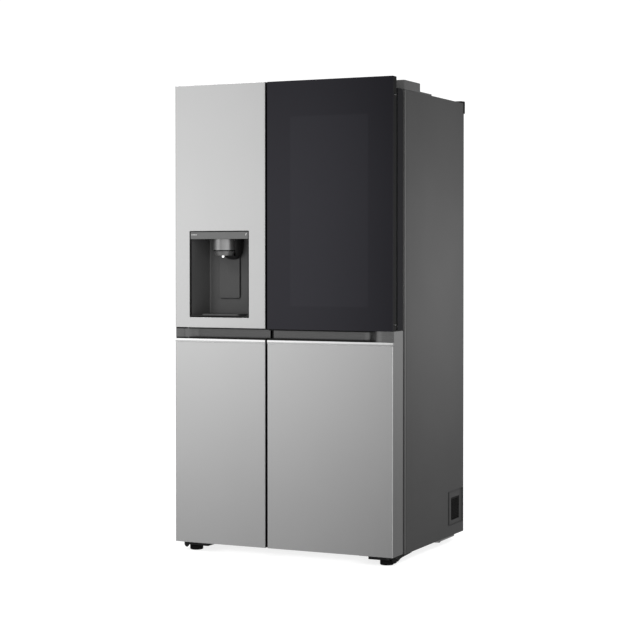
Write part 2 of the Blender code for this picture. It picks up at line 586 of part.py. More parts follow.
def build_freezer_door():
    x = (-SIDE, FREEZER_EDGE)
    inner_x = (x[0] + SHEET + GAP, x[1] - SHEET - GAP)
    notch = ((-1, 1), (at_depth(OUTER_DOOR_DEPTH), 1), (CASE_TOP - GAP, 2))
    housing_x = (NICHE_X[0] + GAP, NICHE_X[1] - GAP)
    housing_z = (NICHE_Z[0] + GAP, NICHE_Z[1] - GAP)
    housing_back = 0.092
    well_x = (NOZZLE_X - 0.058, NOZZLE_X + 0.058)
    well_z = (0.950, 1.180)
    well_back = 0.112
    ribs = [box(span, (DOOR_BACK - 0.002, at_depth(0.140)), (0.620, 1.660))
            for span in ((-0.395, -0.380), (-0.130, -0.115))]
    solid("freezer_door_core", "white_plastic",
          box(inner_x, (FRONT + SHEET + GAP, DOOR_BACK - GAP), (DOOR_BOTTOM, HEIGHT - SHEET - GAP)),
          joins=[box((-0.350, -0.176), (DOOR_BACK - 0.002, at_depth(0.126)), (0.925, 1.205)), *ribs],
          cuts=[box(*notch),
                box(NICHE_X, (FRONT - 0.01, at_depth(housing_back) + GAP), NICHE_Z),
                box((well_x[0] - GAP, well_x[1] + GAP), (FRONT, at_depth(well_back) + GAP),
                    (well_z[0] - GAP, well_z[1] + GAP)),
                box((x[0] - 0.01, x[1] + 0.01), (FRONT - 0.01, at_depth(POCKET_BACK) + GAP),
                    (RECESS_BOTTOM - GAP, RECESS_TOP + GAP)),
                box((x[0] - 0.01, x[1] + 0.01), (FRONT - 0.01, at_depth(TRIM_DEPTH) + GAP),
                    (TRIM_BOTTOM - GAP, RECESS_BOTTOM)),
                *door_pin_bores(-1)])
    solid("freezer_panel_upper", "steel",
          box(x, (FRONT, DOOR_BACK - GAP), (RECESS_TOP + GAP, HEIGHT)),
          cuts=[box((x[0] + SHEET, x[1] - SHEET), (FRONT + SHEET, 0), (0, HEIGHT - SHEET)),
                box(*notch),
                box(NICHE_X, (FRONT - 0.01, FRONT + 0.01), NICHE_Z)], bevel=0.0025)
    lower_panel("freezer_panel_lower", x, -1, RECESS_TOP)
    handle_trim("freezer_handle_trim", x)
    outline_plate("freezer_handle_pocket", "recess_grey", recess_curve(-1, x[1], -0.330, -0.420),
                  (RECESS_BOTTOM + GAP, RECESS_TOP))
    gasket("freezer_gasket", (-PIN_X, -0.078), (DOOR_BACK, CASE_FRONT - GAP), SEAL_Z, SEAL_WIDTH)
    niche = box((NICHE_X[0] + 0.003, NICHE_X[1] - 0.003), (FRONT - 0.01, at_depth(NICHE_DEPTH)),
                (NICHE_FLOOR, NICHE_CEILING))
    solid("dispenser_housing", "dark_plastic",
          box(housing_x, (FRONT + GAP, at_depth(housing_back)), housing_z),
          joins=[box(well_x, (at_depth(housing_back - 0.002), at_depth(well_back)), well_z)],
          cuts=[narrowed(niche, FRONT, 0.038),
                box((NOZZLE_X - 0.050, NOZZLE_X + 0.050), (at_depth(0.080), at_depth(0.108)),
                    (0.962, 1.166)),
                box((housing_x[0] - 0.01, housing_x[1] + 0.01), (FRONT - 0.01, at_depth(0.010) + GAP),
                    (NICHE_CEILING, NICHE_Z[1] + 0.01))])
    solid("dispenser_display", "display_grey",
          box(housing_x, (FRONT, at_depth(0.010)), (NICHE_CEILING + GAP, housing_z[1])), bevel=0.001)
    nozzle_profile = [(0, 1.2017), (0.0430, 1.2017), (0.0430, 1.160), (0.0375, 1.157), (0.0375, 1.139),
                      (0.031, 1.139), (0.028, 1.176), (0, 1.176)]
    turned("dispenser_nozzle", "silver_plastic", nozzle_profile, (NOZZLE_X, at_depth(NOZZLE_DEPTH), 0),
           sides=24)
    pivot = (NOZZLE_X, at_depth(PADDLE_DEPTH), PADDLE_TOP)
    paddle = solid("dispenser_paddle", "dark_plastic",
                   box((NOZZLE_X - PADDLE_HALF, NOZZLE_X + PADDLE_HALF),
                       (at_depth(0.0850), at_depth(0.0885)), (0.976, PADDLE_TOP)), origin=pivot)
    round_edges(paddle, 0.0015)
    combine(paddle, rod("X", pivot, 0.0035, (NOZZLE_X - PADDLE_HALF, NOZZLE_X + PADDLE_HALF), 12), "UNION")
    tray_z = (NICHE_FLOOR + GAP, NICHE_FLOOR + 0.0065)
    slots = []
    for slot_x in spread(-0.338, -0.188, 9):
        slots.append(((slot_x - 0.0045, slot_x + 0.0045), (at_depth(0.018), at_depth(0.068)),
                      (tray_z[1] - 0.003, 1)))
    solid("drip_tray", "dark_plastic", box((-0.343, -0.183), (at_depth(0.006), at_depth(0.080)), tray_z),
          cuts=[boxes(slots)], origin=(NOZZLE_X, at_depth(0.006), tray_z[0]))
    tray("freezer_door_basket", "clear_plastic", (-0.3797, -0.1303), (DOOR_BACK, at_depth(0.172)),
         (1.320, 1.430), (0, 0, 0))


def build_fridge_door():
    x = (FRIDGE_EDGE, SIDE)
    inner_x = (x[0] + SHEET + GAP, x[1] - SHEET - GAP)
    outer_pin = (OUTER_PIN_X, at_depth(OUTER_PIN_DEPTH), 0)
    strip_x = (0.404, 0.434)
    solid("fridge_door_core", "white_plastic",
          box(inner_x, (FRONT + SHEET + GAP, DOOR_BACK - GAP), (DOOR_BOTTOM, CASE_TOP - GAP)),
          cuts=[box((x[0] - 0.01, x[1] + 0.01), (FRONT - 0.01, at_depth(INNER_DOOR_DEPTH)),
                    (RECESS_TOP + GAP, 2)),
                box((-0.015, 0.400), (FRONT, 0), (0.925, 1.685)),
                box((x[0] - 0.01, x[1] + 0.01), (FRONT - 0.01, at_depth(POCKET_BACK) + GAP),
                    (RECESS_BOTTOM - GAP, RECESS_TOP + 2 * GAP)),
                box((x[0] - 0.01, x[1] + 0.01), (FRONT - 0.01, at_depth(TRIM_DEPTH) + GAP),
                    (TRIM_BOTTOM - GAP, RECESS_BOTTOM)),
                box((strip_x[0] - GAP, strip_x[1] + GAP), (FRONT, at_depth(INNER_DOOR_DEPTH + 0.0035)),
                    (0.870, 1.740)),
                *door_pin_bores(1)])
    lower_panel("fridge_panel_lower", x, 1, OUTER_DOOR_Z[0] - GAP)
    handle_trim("fridge_handle_trim", x)
    outline_plate("fridge_handle_pocket", "recess_grey", recess_curve(1, x[0], 0.290, 0.420),
                  (RECESS_BOTTOM + GAP, OUTER_DOOR_Z[0] - GAP))
    gasket("fridge_gasket", (-0.048, PIN_X), (DOOR_BACK, CASE_FRONT - GAP), SEAL_Z, SEAL_WIDTH)
    tray("fridge_door_basket", "clear_plastic", (-0.0095, 0.3945), (at_depth(0.048), at_depth(0.160)),
         (1.060, 1.190), (0, 0, 0))
    strip_y = (at_depth(INNER_DOOR_DEPTH + GAP), at_depth(INNER_DOOR_DEPTH + 0.0033))
    joins = []
    for level in ARM_LEVELS:
        joins.append(box((strip_x[0], strip_x[1]), (at_depth(OUTER_PIN_DEPTH), strip_y[1]),
                         (level - ARM_HALF, level + ARM_HALF)))
        joins.append(rod("Z", outer_pin, 0.008, (level - ARM_HALF, level + ARM_HALF)))
        joins.append(rod("Z", outer_pin, SMALL_PIN, (level - 0.010, level + 0.010)))
    solid("glass_door_hinge", "black_paint", box(strip_x, strip_y, (0.872, 1.738)), joins=joins)
    slots = []
    for level in ARM_LEVELS:
        slots.append(box((0.396, SIDE + 0.01), (at_depth(0.009), at_depth(0.045)),
                         (level - 0.0025, level + 0.0025)))
        slots.append(rod("Z", outer_pin, SMALL_BORE, (level - 0.0115, level + 0.0115)))
    lever_x = (0.020, 0.120)
    groove = box((lever_x[0] - 0.002, lever_x[1] + 0.002), (at_depth(0.010), at_depth(0.031)),
                 (0.85, 0.880))
    frame_y = (at_depth(0.0043), at_depth(OUTER_DOOR_DEPTH))
    solid("glass_door_frame", "black_plastic",
          rounded_upright(box(x, frame_y, OUTER_DOOR_Z), x[1], frame_y[1], 0.010),
          cuts=[box(WINDOW_X, (FRONT, 0), WINDOW_Z), groove, *slots])
    solid("glass_door_panel", "black_glass", box(x, (FRONT, at_depth(0.004)), OUTER_DOOR_Z), bevel=0.001)
    gasket("glass_door_gasket", (-0.040, 0.424),
           (at_depth(OUTER_DOOR_DEPTH) + GAP, at_depth(INNER_DOOR_DEPTH) - GAP), (0.900, 1.710), 0.012)
    lever_pivot = (sum(lever_x) / 2, at_depth(0.026), 0.867)
    solid("glass_release_lever", "dark_plastic",
          box(lever_x, (at_depth(0.0115), at_depth(0.026)), (0.8625, 0.867)),
          joins=[rod("X", lever_pivot, 0.003, lever_x, 12)], origin=lever_pivot)


build_case()
build_base()
build_hinges()
build_cooling()
build_room_fittings()
build_freezer_door()
build_fridge_door()
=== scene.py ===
"""Looks of the side by side refrigerator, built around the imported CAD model.

Metres, +Z up. The origin is on the floor in the middle of the footprint, the doors face -Y and
the freezer is at -X. Places are read from the CAD nodes' boxes.
"""
import json
import math

import bmesh
import bpy
from mathutils import Matrix, Vector


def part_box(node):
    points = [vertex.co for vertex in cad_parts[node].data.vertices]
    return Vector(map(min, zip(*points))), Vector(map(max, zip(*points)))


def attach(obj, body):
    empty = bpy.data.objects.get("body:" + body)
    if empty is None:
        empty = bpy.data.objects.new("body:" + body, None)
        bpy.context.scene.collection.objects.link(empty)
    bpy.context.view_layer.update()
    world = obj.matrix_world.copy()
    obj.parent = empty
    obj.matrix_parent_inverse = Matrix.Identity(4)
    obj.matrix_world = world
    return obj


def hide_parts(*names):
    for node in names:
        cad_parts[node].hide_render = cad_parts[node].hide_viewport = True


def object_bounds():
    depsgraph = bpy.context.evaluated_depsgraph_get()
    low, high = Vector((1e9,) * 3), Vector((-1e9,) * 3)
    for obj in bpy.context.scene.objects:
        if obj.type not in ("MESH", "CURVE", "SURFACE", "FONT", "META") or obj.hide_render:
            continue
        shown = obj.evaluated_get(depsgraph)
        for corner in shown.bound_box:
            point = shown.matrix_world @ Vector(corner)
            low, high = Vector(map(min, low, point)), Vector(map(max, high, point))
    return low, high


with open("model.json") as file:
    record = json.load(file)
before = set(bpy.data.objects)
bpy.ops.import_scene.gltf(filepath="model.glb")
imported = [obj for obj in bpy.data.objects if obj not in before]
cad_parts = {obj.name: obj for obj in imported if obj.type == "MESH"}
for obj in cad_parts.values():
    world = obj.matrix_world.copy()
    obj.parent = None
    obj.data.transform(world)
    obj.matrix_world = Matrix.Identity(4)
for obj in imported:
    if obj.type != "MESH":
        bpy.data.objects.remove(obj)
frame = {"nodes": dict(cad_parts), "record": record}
cad_low, cad_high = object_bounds()
scene = bpy.context.scene

FRONT = cad_low.y
SIDE = cad_high.x
HEIGHT = cad_high.z


def depth(distance):
    """Y of a plane this far behind the front of the doors."""
    return FRONT + distance


def depths(first, second):
    """Y span between two planes behind the front of the doors."""
    return (depth(first), depth(second))


# Camera, floor and light
CAMERA_PLACE = (2.8453, -6.0832, 1.1215)
CAMERA_TURN = (math.pi / 2 - 0.0163, 0.0, 0.4393)
CAMERA_LENS = 95.94
CAMERA_SHIFT = -0.05


def build_camera():
    data = bpy.data.cameras.new("camera")
    data.sensor_width = 36.0
    data.lens = CAMERA_LENS
    data.shift_y = CAMERA_SHIFT
    data.clip_end = 100.0
    camera = bpy.data.objects.new("camera", data)
    camera.location = CAMERA_PLACE
    camera.rotation_euler = CAMERA_TURN
    scene.collection.objects.link(camera)
    scene.camera = camera


def area_light(name, place, target, size, power, glossy=True):
    data = bpy.data.lights.new(name, "AREA")
    data.shape = "RECTANGLE"
    data.size, data.size_y = size
    data.energy = power
    light = bpy.data.objects.new(name, data)
    light.location = place
    light.rotation_euler = (Vector(target) - Vector(place)).to_track_quat("-Z", "Y").to_euler()
    light.visible_camera = False
    light.visible_glossy = glossy
    scene.collection.objects.link(light)


class Nodes:
    """Short names for the shader nodes of one tree."""

    def __init__(self, tree):
        self.tree = tree

    def add(self, kind, **settings):
        node = self.tree.nodes.new(kind)
        for name, value in settings.items():
            setattr(node, name, value)
        return node

    def link(self, source, target):
        self.tree.links.new(source, target)

    def feed(self, socket, value):
        if isinstance(value, bpy.types.NodeSocket):
            self.link(value, socket)
        else:
            socket.default_value = value

    def math(self, operation, first, second=0.0):
        node = self.add("ShaderNodeMath", operation=operation)
        for socket, value in zip(node.inputs, (first, second)):
            self.feed(socket, value)
        return node.outputs[0]

    def split(self, vector):
        node = self.add("ShaderNodeSeparateXYZ")
        self.link(vector, node.inputs[0])
        return node.outputs

    def span(self, value, low, high, start=0.0, end=1.0):
        """Map value from low..high to start..end, clamped, with soft ends."""
        node = self.add("ShaderNodeMapRange", interpolation_type="SMOOTHSTEP")
        for name, number in (("Value", value), ("From Min", low), ("From Max", high), ("To Min", start),
                ("To Max", end)):
            self.feed(node.inputs[name], number)
        return node.outputs["Result"]

    def mix(self, factor, first, second):
        """Mix two colours. A plain number stands for a grey."""
        node = self.add("ShaderNodeMix", data_type="RGBA")
        self.feed(node.inputs["Factor"], factor)
        for index, colour in ((6, first), (7, second)):
            self.feed(node.inputs[index], grey(colour) if isinstance(colour, float) else colour)
        return node.outputs[2]

    def coordinates(self, scale=(1, 1, 1)):
        place = self.add("ShaderNodeTexCoord").outputs["Object"]
        node = self.add("ShaderNodeMapping")
        node.inputs["Scale"].default_value = scale
        self.link(place, node.inputs["Vector"])
        return node.outputs["Vector"]

    def noise(self, scale, stretch=(1, 1, 1), detail=3.0, roughness=0.5):
        node = self.add("ShaderNodeTexNoise")
        node.inputs["Scale"].default_value = scale
        node.inputs["Detail"].default_value = detail
        node.inputs["Roughness"].default_value = roughness
        self.link(self.coordinates(stretch), node.inputs["Vector"])
        return node.outputs["Fac"]

    def cells(self, scale, output="Distance"):
        node = self.add("ShaderNodeTexVoronoi", feature="F1")
        node.inputs["Scale"].default_value = scale
        self.link(self.coordinates(), node.inputs["Vector"])
        return node.outputs[output]

    def bump(self, height, strength, distance):
        node = self.add("ShaderNodeBump")
        node.inputs["Strength"].default_value = strength
        node.inputs["Distance"].default_value = distance
        self.link(height, node.inputs["Height"])
        return node.outputs["Normal"]


def build_world():
    """A white studio. Polished faces mirror a soft bright field at front left, darker to the right."""
    world = bpy.data.worlds.new("studio")
    scene.world = world
    world.use_nodes = True
    n = Nodes(world.node_tree)
    back = world.node_tree.nodes["Background"]
    x, y, z = n.split(n.add("ShaderNodeTexCoord").outputs["Generated"])
    azimuth = n.math("ARCTAN2", x, n.math("MULTIPLY", y, -1.0))
    left = n.span(azimuth, math.radians(-19.5), math.radians(-26.5), 0.24, 1.22)
    far_left = n.span(azimuth, math.radians(-48.0), math.radians(-75.0), 1.0, 0.25)
    right = n.span(azimuth, math.radians(-15.0), math.radians(-1.0), 0.0, 0.72)
    above = n.span(z, 0.02, 0.17, 1.0, 0.57)
    below = n.span(z, -0.02, -0.18, 1.0, 0.3)
    patch = n.math("MULTIPLY", n.span(azimuth, math.radians(28.0), math.radians(42.0)),
        n.span(azimuth, math.radians(88.0), math.radians(76.0)))
    right = n.math("ADD", right, n.math("MULTIPLY", patch, 0.36))
    front = n.math("ADD", n.math("MULTIPLY", left, far_left), right)
    front = n.math("MULTIPLY", front, n.math("MULTIPLY", above, below))
    band = n.span(n.math("ABSOLUTE", n.math("ADD", z, 0.01)), 0.0, 0.16, 0.34, 0.15)
    behind = n.span(y, 0.05, 0.3)
    mirrored = n.math("ADD", n.math("MULTIPLY", front, n.math("SUBTRACT", 1.0, behind)),
        n.math("MULTIPLY", band, behind))
    glossy = n.add("ShaderNodeLightPath").outputs["Is Glossy Ray"]
    n.link(n.mix(glossy, (1, 1, 1, 1), mirrored), back.inputs["Color"])
    back.inputs["Strength"].default_value = 1.08


def build_studio():
    scene.view_settings.view_transform = "Standard"
    build_world()
    area_light("key_light", (-2.1, -3.4, 4.3), (0, 0, 0.8), (1.8, 1.8), 70)
    area_light("side_light", (1.25, 0.12, 1.03), (0.45, 0.12, 1.03), (0.4, 0.4), 15, glossy=False)
    area_light("back_light", (-1.5, 4.0, 3.0), (0, 0.3, 0.8), (3.0, 2.0), 60, glossy=False)
    work = bmesh.new()
    bmesh.ops.create_grid(work, x_segments=8, y_segments=8, size=30.0)
    floor = new_object("floor", to_mesh(work))
    material = bpy.data.materials.new("floor_white")
    material.use_nodes = True
    shader = material.node_tree.nodes["Principled BSDF"]
    shader.inputs["Roughness"].default_value = 0.9
    shader.inputs["Specular IOR Level"].default_value = 0.0
    n = Nodes(material.node_tree)
    n.link(n.mix(n.noise(3.0), 0.26, 0.28), shader.inputs["Base Color"])
    shader.inputs["Emission Color"].default_value = (1, 1, 1, 1)
    shader.inputs["Emission Strength"].default_value = 0.82
    floor.data.materials.append(material)
    floor.visible_glossy = False


# Materials
def grey(level):
    return (level, level, level, 1.0)


def new_material(name, roughness, metallic=0.0, **sockets):
    material = bpy.data.materials.new(name)
    material.use_nodes = True
    shader = material.node_tree.nodes["Principled BSDF"]
    shader.inputs["Roughness"].default_value = roughness
    shader.inputs["Metallic"].default_value = metallic
    for key, value in sockets.items():
        shader.inputs[key.replace("_", " ")].default_value = value
    return material, shader, Nodes(material.node_tree)


def plastic(name, low, high, roughness, grain=900.0, relief=0.00012, **sockets):
    """Moulded plastic: a little colour variation, and a fine moulded grain."""
    material, shader, n = new_material(name, roughness, **sockets)
    n.link(n.mix(n.noise(14.0), low, high), shader.inputs["Base Color"])
    fine = n.noise(grain, detail=2.0)
    n.link(n.span(fine, 0.3, 0.7, roughness - 0.05, roughness + 0.05), shader.inputs["Roughness"])
    n.link(n.bump(fine, 0.25, relief), shader.inputs["Normal"])
    return material


def brushed(name, low, high, roughness, stretch, metallic=1.0, relief=0.00002):
    """Brushed metal: long fine scratches along one axis."""
    material, shader, n = new_material(name, roughness, metallic)
    fine = n.noise(1.0, stretch, detail=4.0, roughness=0.7)
    broad = n.noise(2.2, detail=2.0)
    tone = n.math("ADD", n.math("MULTIPLY", fine, 0.7), n.math("MULTIPLY", broad, 0.3))
    n.link(n.mix(n.span(tone, 0.3, 0.7), low, high), shader.inputs["Base Color"])
    n.link(n.span(fine, 0.3, 0.7, roughness - 0.012, roughness + 0.016), shader.inputs["Roughness"])
    n.link(n.bump(fine, 0.3, relief), shader.inputs["Normal"])
    return material


def painted(name, low, high, roughness, metallic=0.0, peel=260.0, relief=0.00006, **sockets):
    """Sprayed sheet steel, with orange peel."""
    material, shader, n = new_material(name, roughness, metallic, **sockets)
    n.link(n.mix(n.noise(5.0, detail=4.0), low, high), shader.inputs["Base Color"])
    skin = n.noise(peel, detail=2.0)
    n.link(n.span(skin, 0.3, 0.7, roughness - 0.03, roughness + 0.03), shader.inputs["Roughness"])
    n.link(n.bump(skin, 0.3, relief), shader.inputs["Normal"])
    return material


def galvanised(name):
    material, shader, n = new_material(name, 0.42, 0.9)
    spangle = n.cells(95.0, output="Color")
    tone = n.span(n.split(spangle)[0], 0.0, 1.0, 0.0, 1.0)
    n.link(n.mix(tone, 0.42, 0.47), shader.inputs["Base Color"])
    n.link(n.span(tone, 0.0, 1.0, 0.4, 0.46), shader.inputs["Roughness"])
    n.link(n.bump(n.noise(420.0), 0.15, 0.00005), shader.inputs["Normal"])
    return material


def clear(name, colour, roughness):
    material, shader, n = new_material(name, roughness, IOR=1.5, Transmission_Weight=0.92)
    n.link(n.mix(n.noise(9.0), colour, 0.97), shader.inputs["Base Color"])
    n.link(n.bump(n.noise(600.0), 0.1, 0.00004), shader.inputs["Normal"])
    return material


def door_glass(name, window_x, window_z):
    """Black printed glass round a tinted window, told apart by a faint step in tone."""
    material, shader, n = new_material(name, 0.045, IOR=1.4, Specular_Tint=(0.9, 0.88, 1.0, 1.0))
    x, _, z = n.split(n.add("ShaderNodeTexCoord").outputs["Object"])
    edge = 0.0015
    inside = n.math("MULTIPLY", n.math("MULTIPLY", n.span(x, window_x[0] - edge, window_x[0] + edge),
        n.span(x, window_x[1] + edge, window_x[1] - edge)),
        n.math("MULTIPLY", n.span(z, window_z[0] - edge, window_z[0] + edge),
        n.span(z, window_z[1] + edge, window_z[1] - edge)))
    dots = n.cells(900.0)
    tint = n.mix(n.span(dots, 0.2, 0.6), (0.0042, 0.0042, 0.0056, 1), (0.0056, 0.0056, 0.007, 1))
    n.link(n.mix(inside, (0.0022, 0.0022, 0.0032, 1), tint), shader.inputs["Base Color"])
    n.link(n.span(n.noise(30.0), 0.3, 0.7, 0.03, 0.06), shader.inputs["Roughness"])
    n.link(n.bump(n.noise(4.0), 0.02, 0.0004), shader.inputs["Normal"])
    return material


STEEL = brushed("brushed_steel", 0.6, 0.64, 0.225, (900, 900, 9.0), relief=0.000003)
TRIM = brushed("polished_trim", 0.8, 0.9, 0.16, (4, 900, 900))
# A lighter copy of the case paint: a painted highlight for the light caught along the case's rounded front
# edge.
CASE_EDGE_HIGHLIGHT = painted("case_edge_painted_highlight", 0.062, 0.07, 0.36, metallic=0.15)
CASE = painted("case_grey_paint", 0.034, 0.041, 0.36, metallic=0.15)
ZINC = galvanised("galvanised_steel")
BLACK_PAINT = painted("black_paint", 0.004, 0.008, 0.42, Specular_IOR_Level=0.22)
BLACK = plastic("black_plastic", 0.004, 0.007, 0.45, Specular_IOR_Level=0.22)
DARK = plastic("dark_plastic", 0.045, 0.058, 0.36)
WHITE = plastic("white_plastic", 0.78, 0.84, 0.28, grain=500.0, relief=0.00005)
SEAL = plastic("seal_grey_rubber", 0.16, 0.21, 0.62)
DISPLAY = plastic("display_grey", 0.106, 0.12, 0.24, grain=1500.0, relief=0.00003)
RECESS = brushed("recess_grey", 0.13, 0.16, 0.26, (3.0, 700, 700), metallic=0.75)
SILVER = brushed("silver_nozzle", 0.36, 0.42, 0.36, (4.0, 4.0, 600), metallic=0.9, relief=0.000006)
ALUMINIUM = brushed("aluminium_fins", 0.62, 0.74, 0.38, (300, 300, 5.0))
FRAME = plastic("door_frame_black", 0.004, 0.006, 0.42, grain=1200.0, relief=0.00003,
    Specular_IOR_Level=0.16)
SKIN = painted("inner_door_black", (0.004, 0.004, 0.005, 1), (0.006, 0.006, 0.007, 1), 0.45,
    Specular_IOR_Level=0.16)
COVER = plastic("cover_grey", 0.054, 0.063, 0.4, grain=500.0)
NICHE = plastic("niche_plastic", 0.051, 0.061, 0.33, grain=1200.0, relief=0.00004)
GRILLE = plastic("grille_plastic", 0.004, 0.007, 0.45, Specular_IOR_Level=0.16)
FOOT = plastic("foot_rubber", 0.002, 0.004, 0.6, Specular_IOR_Level=0.12)
# Dark paint for the body behind the nozzle, which is painted shadow.
NOZZLE_SHADOW = plastic("nozzle_shadow_paint", 0.012, 0.016, 0.45, Specular_IOR_Level=0.3)
# The water tip's emission is a painted highlight: the tip glows though it is no lamp.
TIP_GLOW = plastic("water_tip_painted_glow", 0.9, 0.95, 0.3, Emission_Color=(1, 1, 1, 1), Emission_Strength=0.9)
MARK = plastic("display_mark", 0.62, 0.68, 0.4)
FOAM = plastic("insulating_foam", (0.5, 0.46, 0.3, 1), (0.66, 0.61, 0.43, 1), 0.85, grain=160.0,
    relief=0.0006)
LAMP = plastic("lamp_lens", 0.85, 0.9, 0.35, Emission_Color=(1, 1, 1, 1), Emission_Strength=0.6)
FROSTED = clear("frosted_plastic", (0.8, 0.88, 0.94, 1), 0.32)
TINTED = plastic("tinted_glass", (0.004, 0.004, 0.006, 1), (0.006, 0.006, 0.008, 1), 0.1, grain=200.0,
    relief=0.000005, Coat_Weight=0.4)
CLEAR = clear("clear_plastic", (0.86, 0.91, 0.95, 1), 0.1)
WINDOW_X = (0.039, 0.355)
WINDOW_Z = (0.95, 1.656)
DOOR_GLASS = door_glass("black_door_glass", WINDOW_X, WINDOW_Z)

# Slot of each material. A CAD node that is still shown wears the first material of its slot.
SLOTS = {
    "steel": (STEEL,),
    "bright": (TRIM,),
    "case_grey": (CASE, CASE_EDGE_HIGHLIGHT, COVER),
    "zinc": (ZINC,),
    "black_paint": (BLACK_PAINT,),
    "black_plastic": (BLACK, FRAME, SKIN, GRILLE, FOOT, NOZZLE_SHADOW),
    "dark_plastic": (DARK, NICHE),
    "recess_grey": (RECESS,),
    "foam": (FOAM,),
    "white_plastic": (WHITE, TIP_GLOW, LAMP),
    "clear_plastic": (CLEAR, FROSTED),
    "seal_grey": (SEAL,),
    "display_grey": (DISPLAY, MARK),
    "silver_plastic": (SILVER,),
    "aluminium": (ALUMINIUM,),
    "black_glass": (DOOR_GLASS, TINTED),
}


# Spans and mesh tools: everything is made in the shared frame, with objects at the origin
CUT = 0.01             # how far a cutting tool reaches past the face that it cuts
THROUGH = (-1, 1)      # a span that runs past the whole object
GAP = 0.0003           # clearance left between neighbouring pieces


def around(middle, half):
    """The span that reaches this far on both sides of a place."""
    return (middle - half, middle + half)


def inset(span, amount):
    """A span made smaller by this much at both ends, or larger when the amount is negative."""
    return (span[0] + amount, span[1] - amount)


def mirrored(sign, first, second):
    """A span given for the right-hand side, moved to the side of this sign."""
    return sorted((sign * first, sign * second))


def to_mesh(work):
    mesh = bpy.data.meshes.new("shape")
    work.to_mesh(mesh)
    work.free()
    return mesh


def from_mesh(mesh):
    work = bmesh.new()
    work.from_mesh(mesh)
    return work


def new_object(name, mesh):
    item = bpy.data.objects.new(name, mesh)
    scene.collection.objects.link(item)
    return item


def sharp_edges(work, degrees=25.0):
    limit = math.radians(degrees)
    return [e for e in work.edges if len(e.link_faces) == 2 and e.calc_face_angle(0.0) > limit]


def bevel(work, edges, width, steps):
    bmesh.ops.bevel(work, geom=edges, offset=width, segments=steps, profile=0.5, affect="EDGES",
        clamp_overlap=True)


def along_axis(edge, axis):
    line = edge.verts[1].co - edge.verts[0].co
    return abs(line["XYZ".index(axis)]) > 0.999 * line.length


def block(x, y, z, along=None, corner=0.0, edge=0.0, corner_steps=6, edge_steps=3, choose=None):
    """A box from three (low, high) pairs. Its edges along one axis are rounded by corner, and the
    rest by edge."""
    work = bmesh.new()
    for vertex in bmesh.ops.create_cube(work, size=1.0)["verts"]:
        vertex.co = Vector([span[1] if side > 0 else span[0] for span, side in zip((x, y, z), vertex.co)])
    if corner:
        picked = [e for e in work.edges if along_axis(e, along)
            and (choose is None or choose((e.verts[0].co + e.verts[1].co) / 2))]
        bevel(work, picked, corner, corner_steps)
    if edge:
        bevel(work, sharp_edges(work), edge, edge_steps)
    return to_mesh(work)


def joined(meshes):
    """Several closed meshes in one, unmerged."""
    work = bmesh.new()
    for mesh in meshes:
        work.from_mesh(mesh)
    return to_mesh(work)


def carved(mesh, cuts=(), joins=()):
    """Boolean joins and cuts, applied to the mesh."""
    base = new_object("base", mesh)
    tools = []
    for operation, shapes in (("UNION", joins), ("DIFFERENCE", cuts)):
        for shape in shapes:
            tool = new_object("tool", shape)
            modifier = base.modifiers.new("cut", "BOOLEAN")
            modifier.operation = operation
            modifier.object = tool
            tools.append(tool)
    graph = bpy.context.evaluated_depsgraph_get()
    result = bpy.data.meshes.new_from_object(base.evaluated_get(graph))
    for item in (base, *tools):
        bpy.data.objects.remove(item, do_unlink=True)
    return result


def softened(mesh, width, steps=2, degrees=25.0):
    """Merge flat faces and round every sharp edge a little."""
    work = from_mesh(mesh)
    bmesh.ops.remove_doubles(work, verts=work.verts, dist=0.00001)
    bmesh.ops.dissolve_limit(work, angle_limit=math.radians(1.0), verts=work.verts, edges=work.edges)
    bevel(work, sharp_edges(work, degrees), width, steps)
    return to_mesh(work)


def extruded(outline, axis, span):
    """A flat outline pushed along one axis. The outline's points are in the other two axes."""
    index = "XYZ".index(axis)
    work = bmesh.new()
    corners = []
    for first, second in outline:
        place = [first, second]
        place.insert(index, span[0])
        corners.append(work.verts.new(place))
    face = work.faces.new(corners)
    pushed = bmesh.ops.extrude_face_region(work, geom=[face])["geom"]
    push = Vector((0, 0, 0))
    push[index] = span[1] - span[0]
    bmesh.ops.translate(work, vec=push, verts=[g for g in pushed if isinstance(g, bmesh.types.BMVert)])
    bmesh.ops.recalc_face_normals(work, faces=work.faces)
    return to_mesh(work)


def turned(profile, centre, axis="Z", steps=48):
    """A turned solid from (radius, height) points, closed on its axis."""
    work = bmesh.new()
    points = [work.verts.new((radius, 0, height)) for radius, height in profile]
    edges = [work.edges.new(pair) for pair in zip(points, points[1:])]
    bmesh.ops.spin(work, geom=points + edges, cent=(0, 0, 0), axis=(0, 0, 1), angle=math.tau, steps=steps,
        use_merge=True)
    bmesh.ops.remove_doubles(work, verts=work.verts, dist=0.00001)
    bmesh.ops.recalc_face_normals(work, faces=work.faces)
    turn = {"X": Matrix.Rotation(math.radians(90), 4, "Y"),
        "Y": Matrix.Rotation(math.radians(-90), 4, "X"), "Z": Matrix.Identity(4)}[axis]
    bmesh.ops.transform(work, matrix=Matrix.Translation(centre) @ turn, verts=work.verts)
    return to_mesh(work)


def rod(radius, first, second, centre, axis="Z", steps=24):
    """A plain cylinder between two heights on its axis."""
    profile = [(0, first), (radius, first), (radius, second), (0, second)]
    return turned(profile, centre, axis, steps)


def piece(name, mesh, material, body, replaces=(), smooth=35.0, flat_faces=True):
    """A visible piece: its mesh, its material, the body it rides on and the nodes it stands for.
    Flat faces keep their own normals beside a rounded edge."""
    item = new_object(name, mesh)
    item.data.materials.clear()
    item.data.materials.append(material)
    item.data.shade_smooth()
    item.data.set_sharp_from_angle(angle=math.radians(smooth))
    if flat_faces:
        normals = item.modifiers.new("normals", "WEIGHTED_NORMAL")
        normals.keep_sharp = True
        normals.weight = 100
    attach(item, body)
    if replaces:
        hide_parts(*replaces)


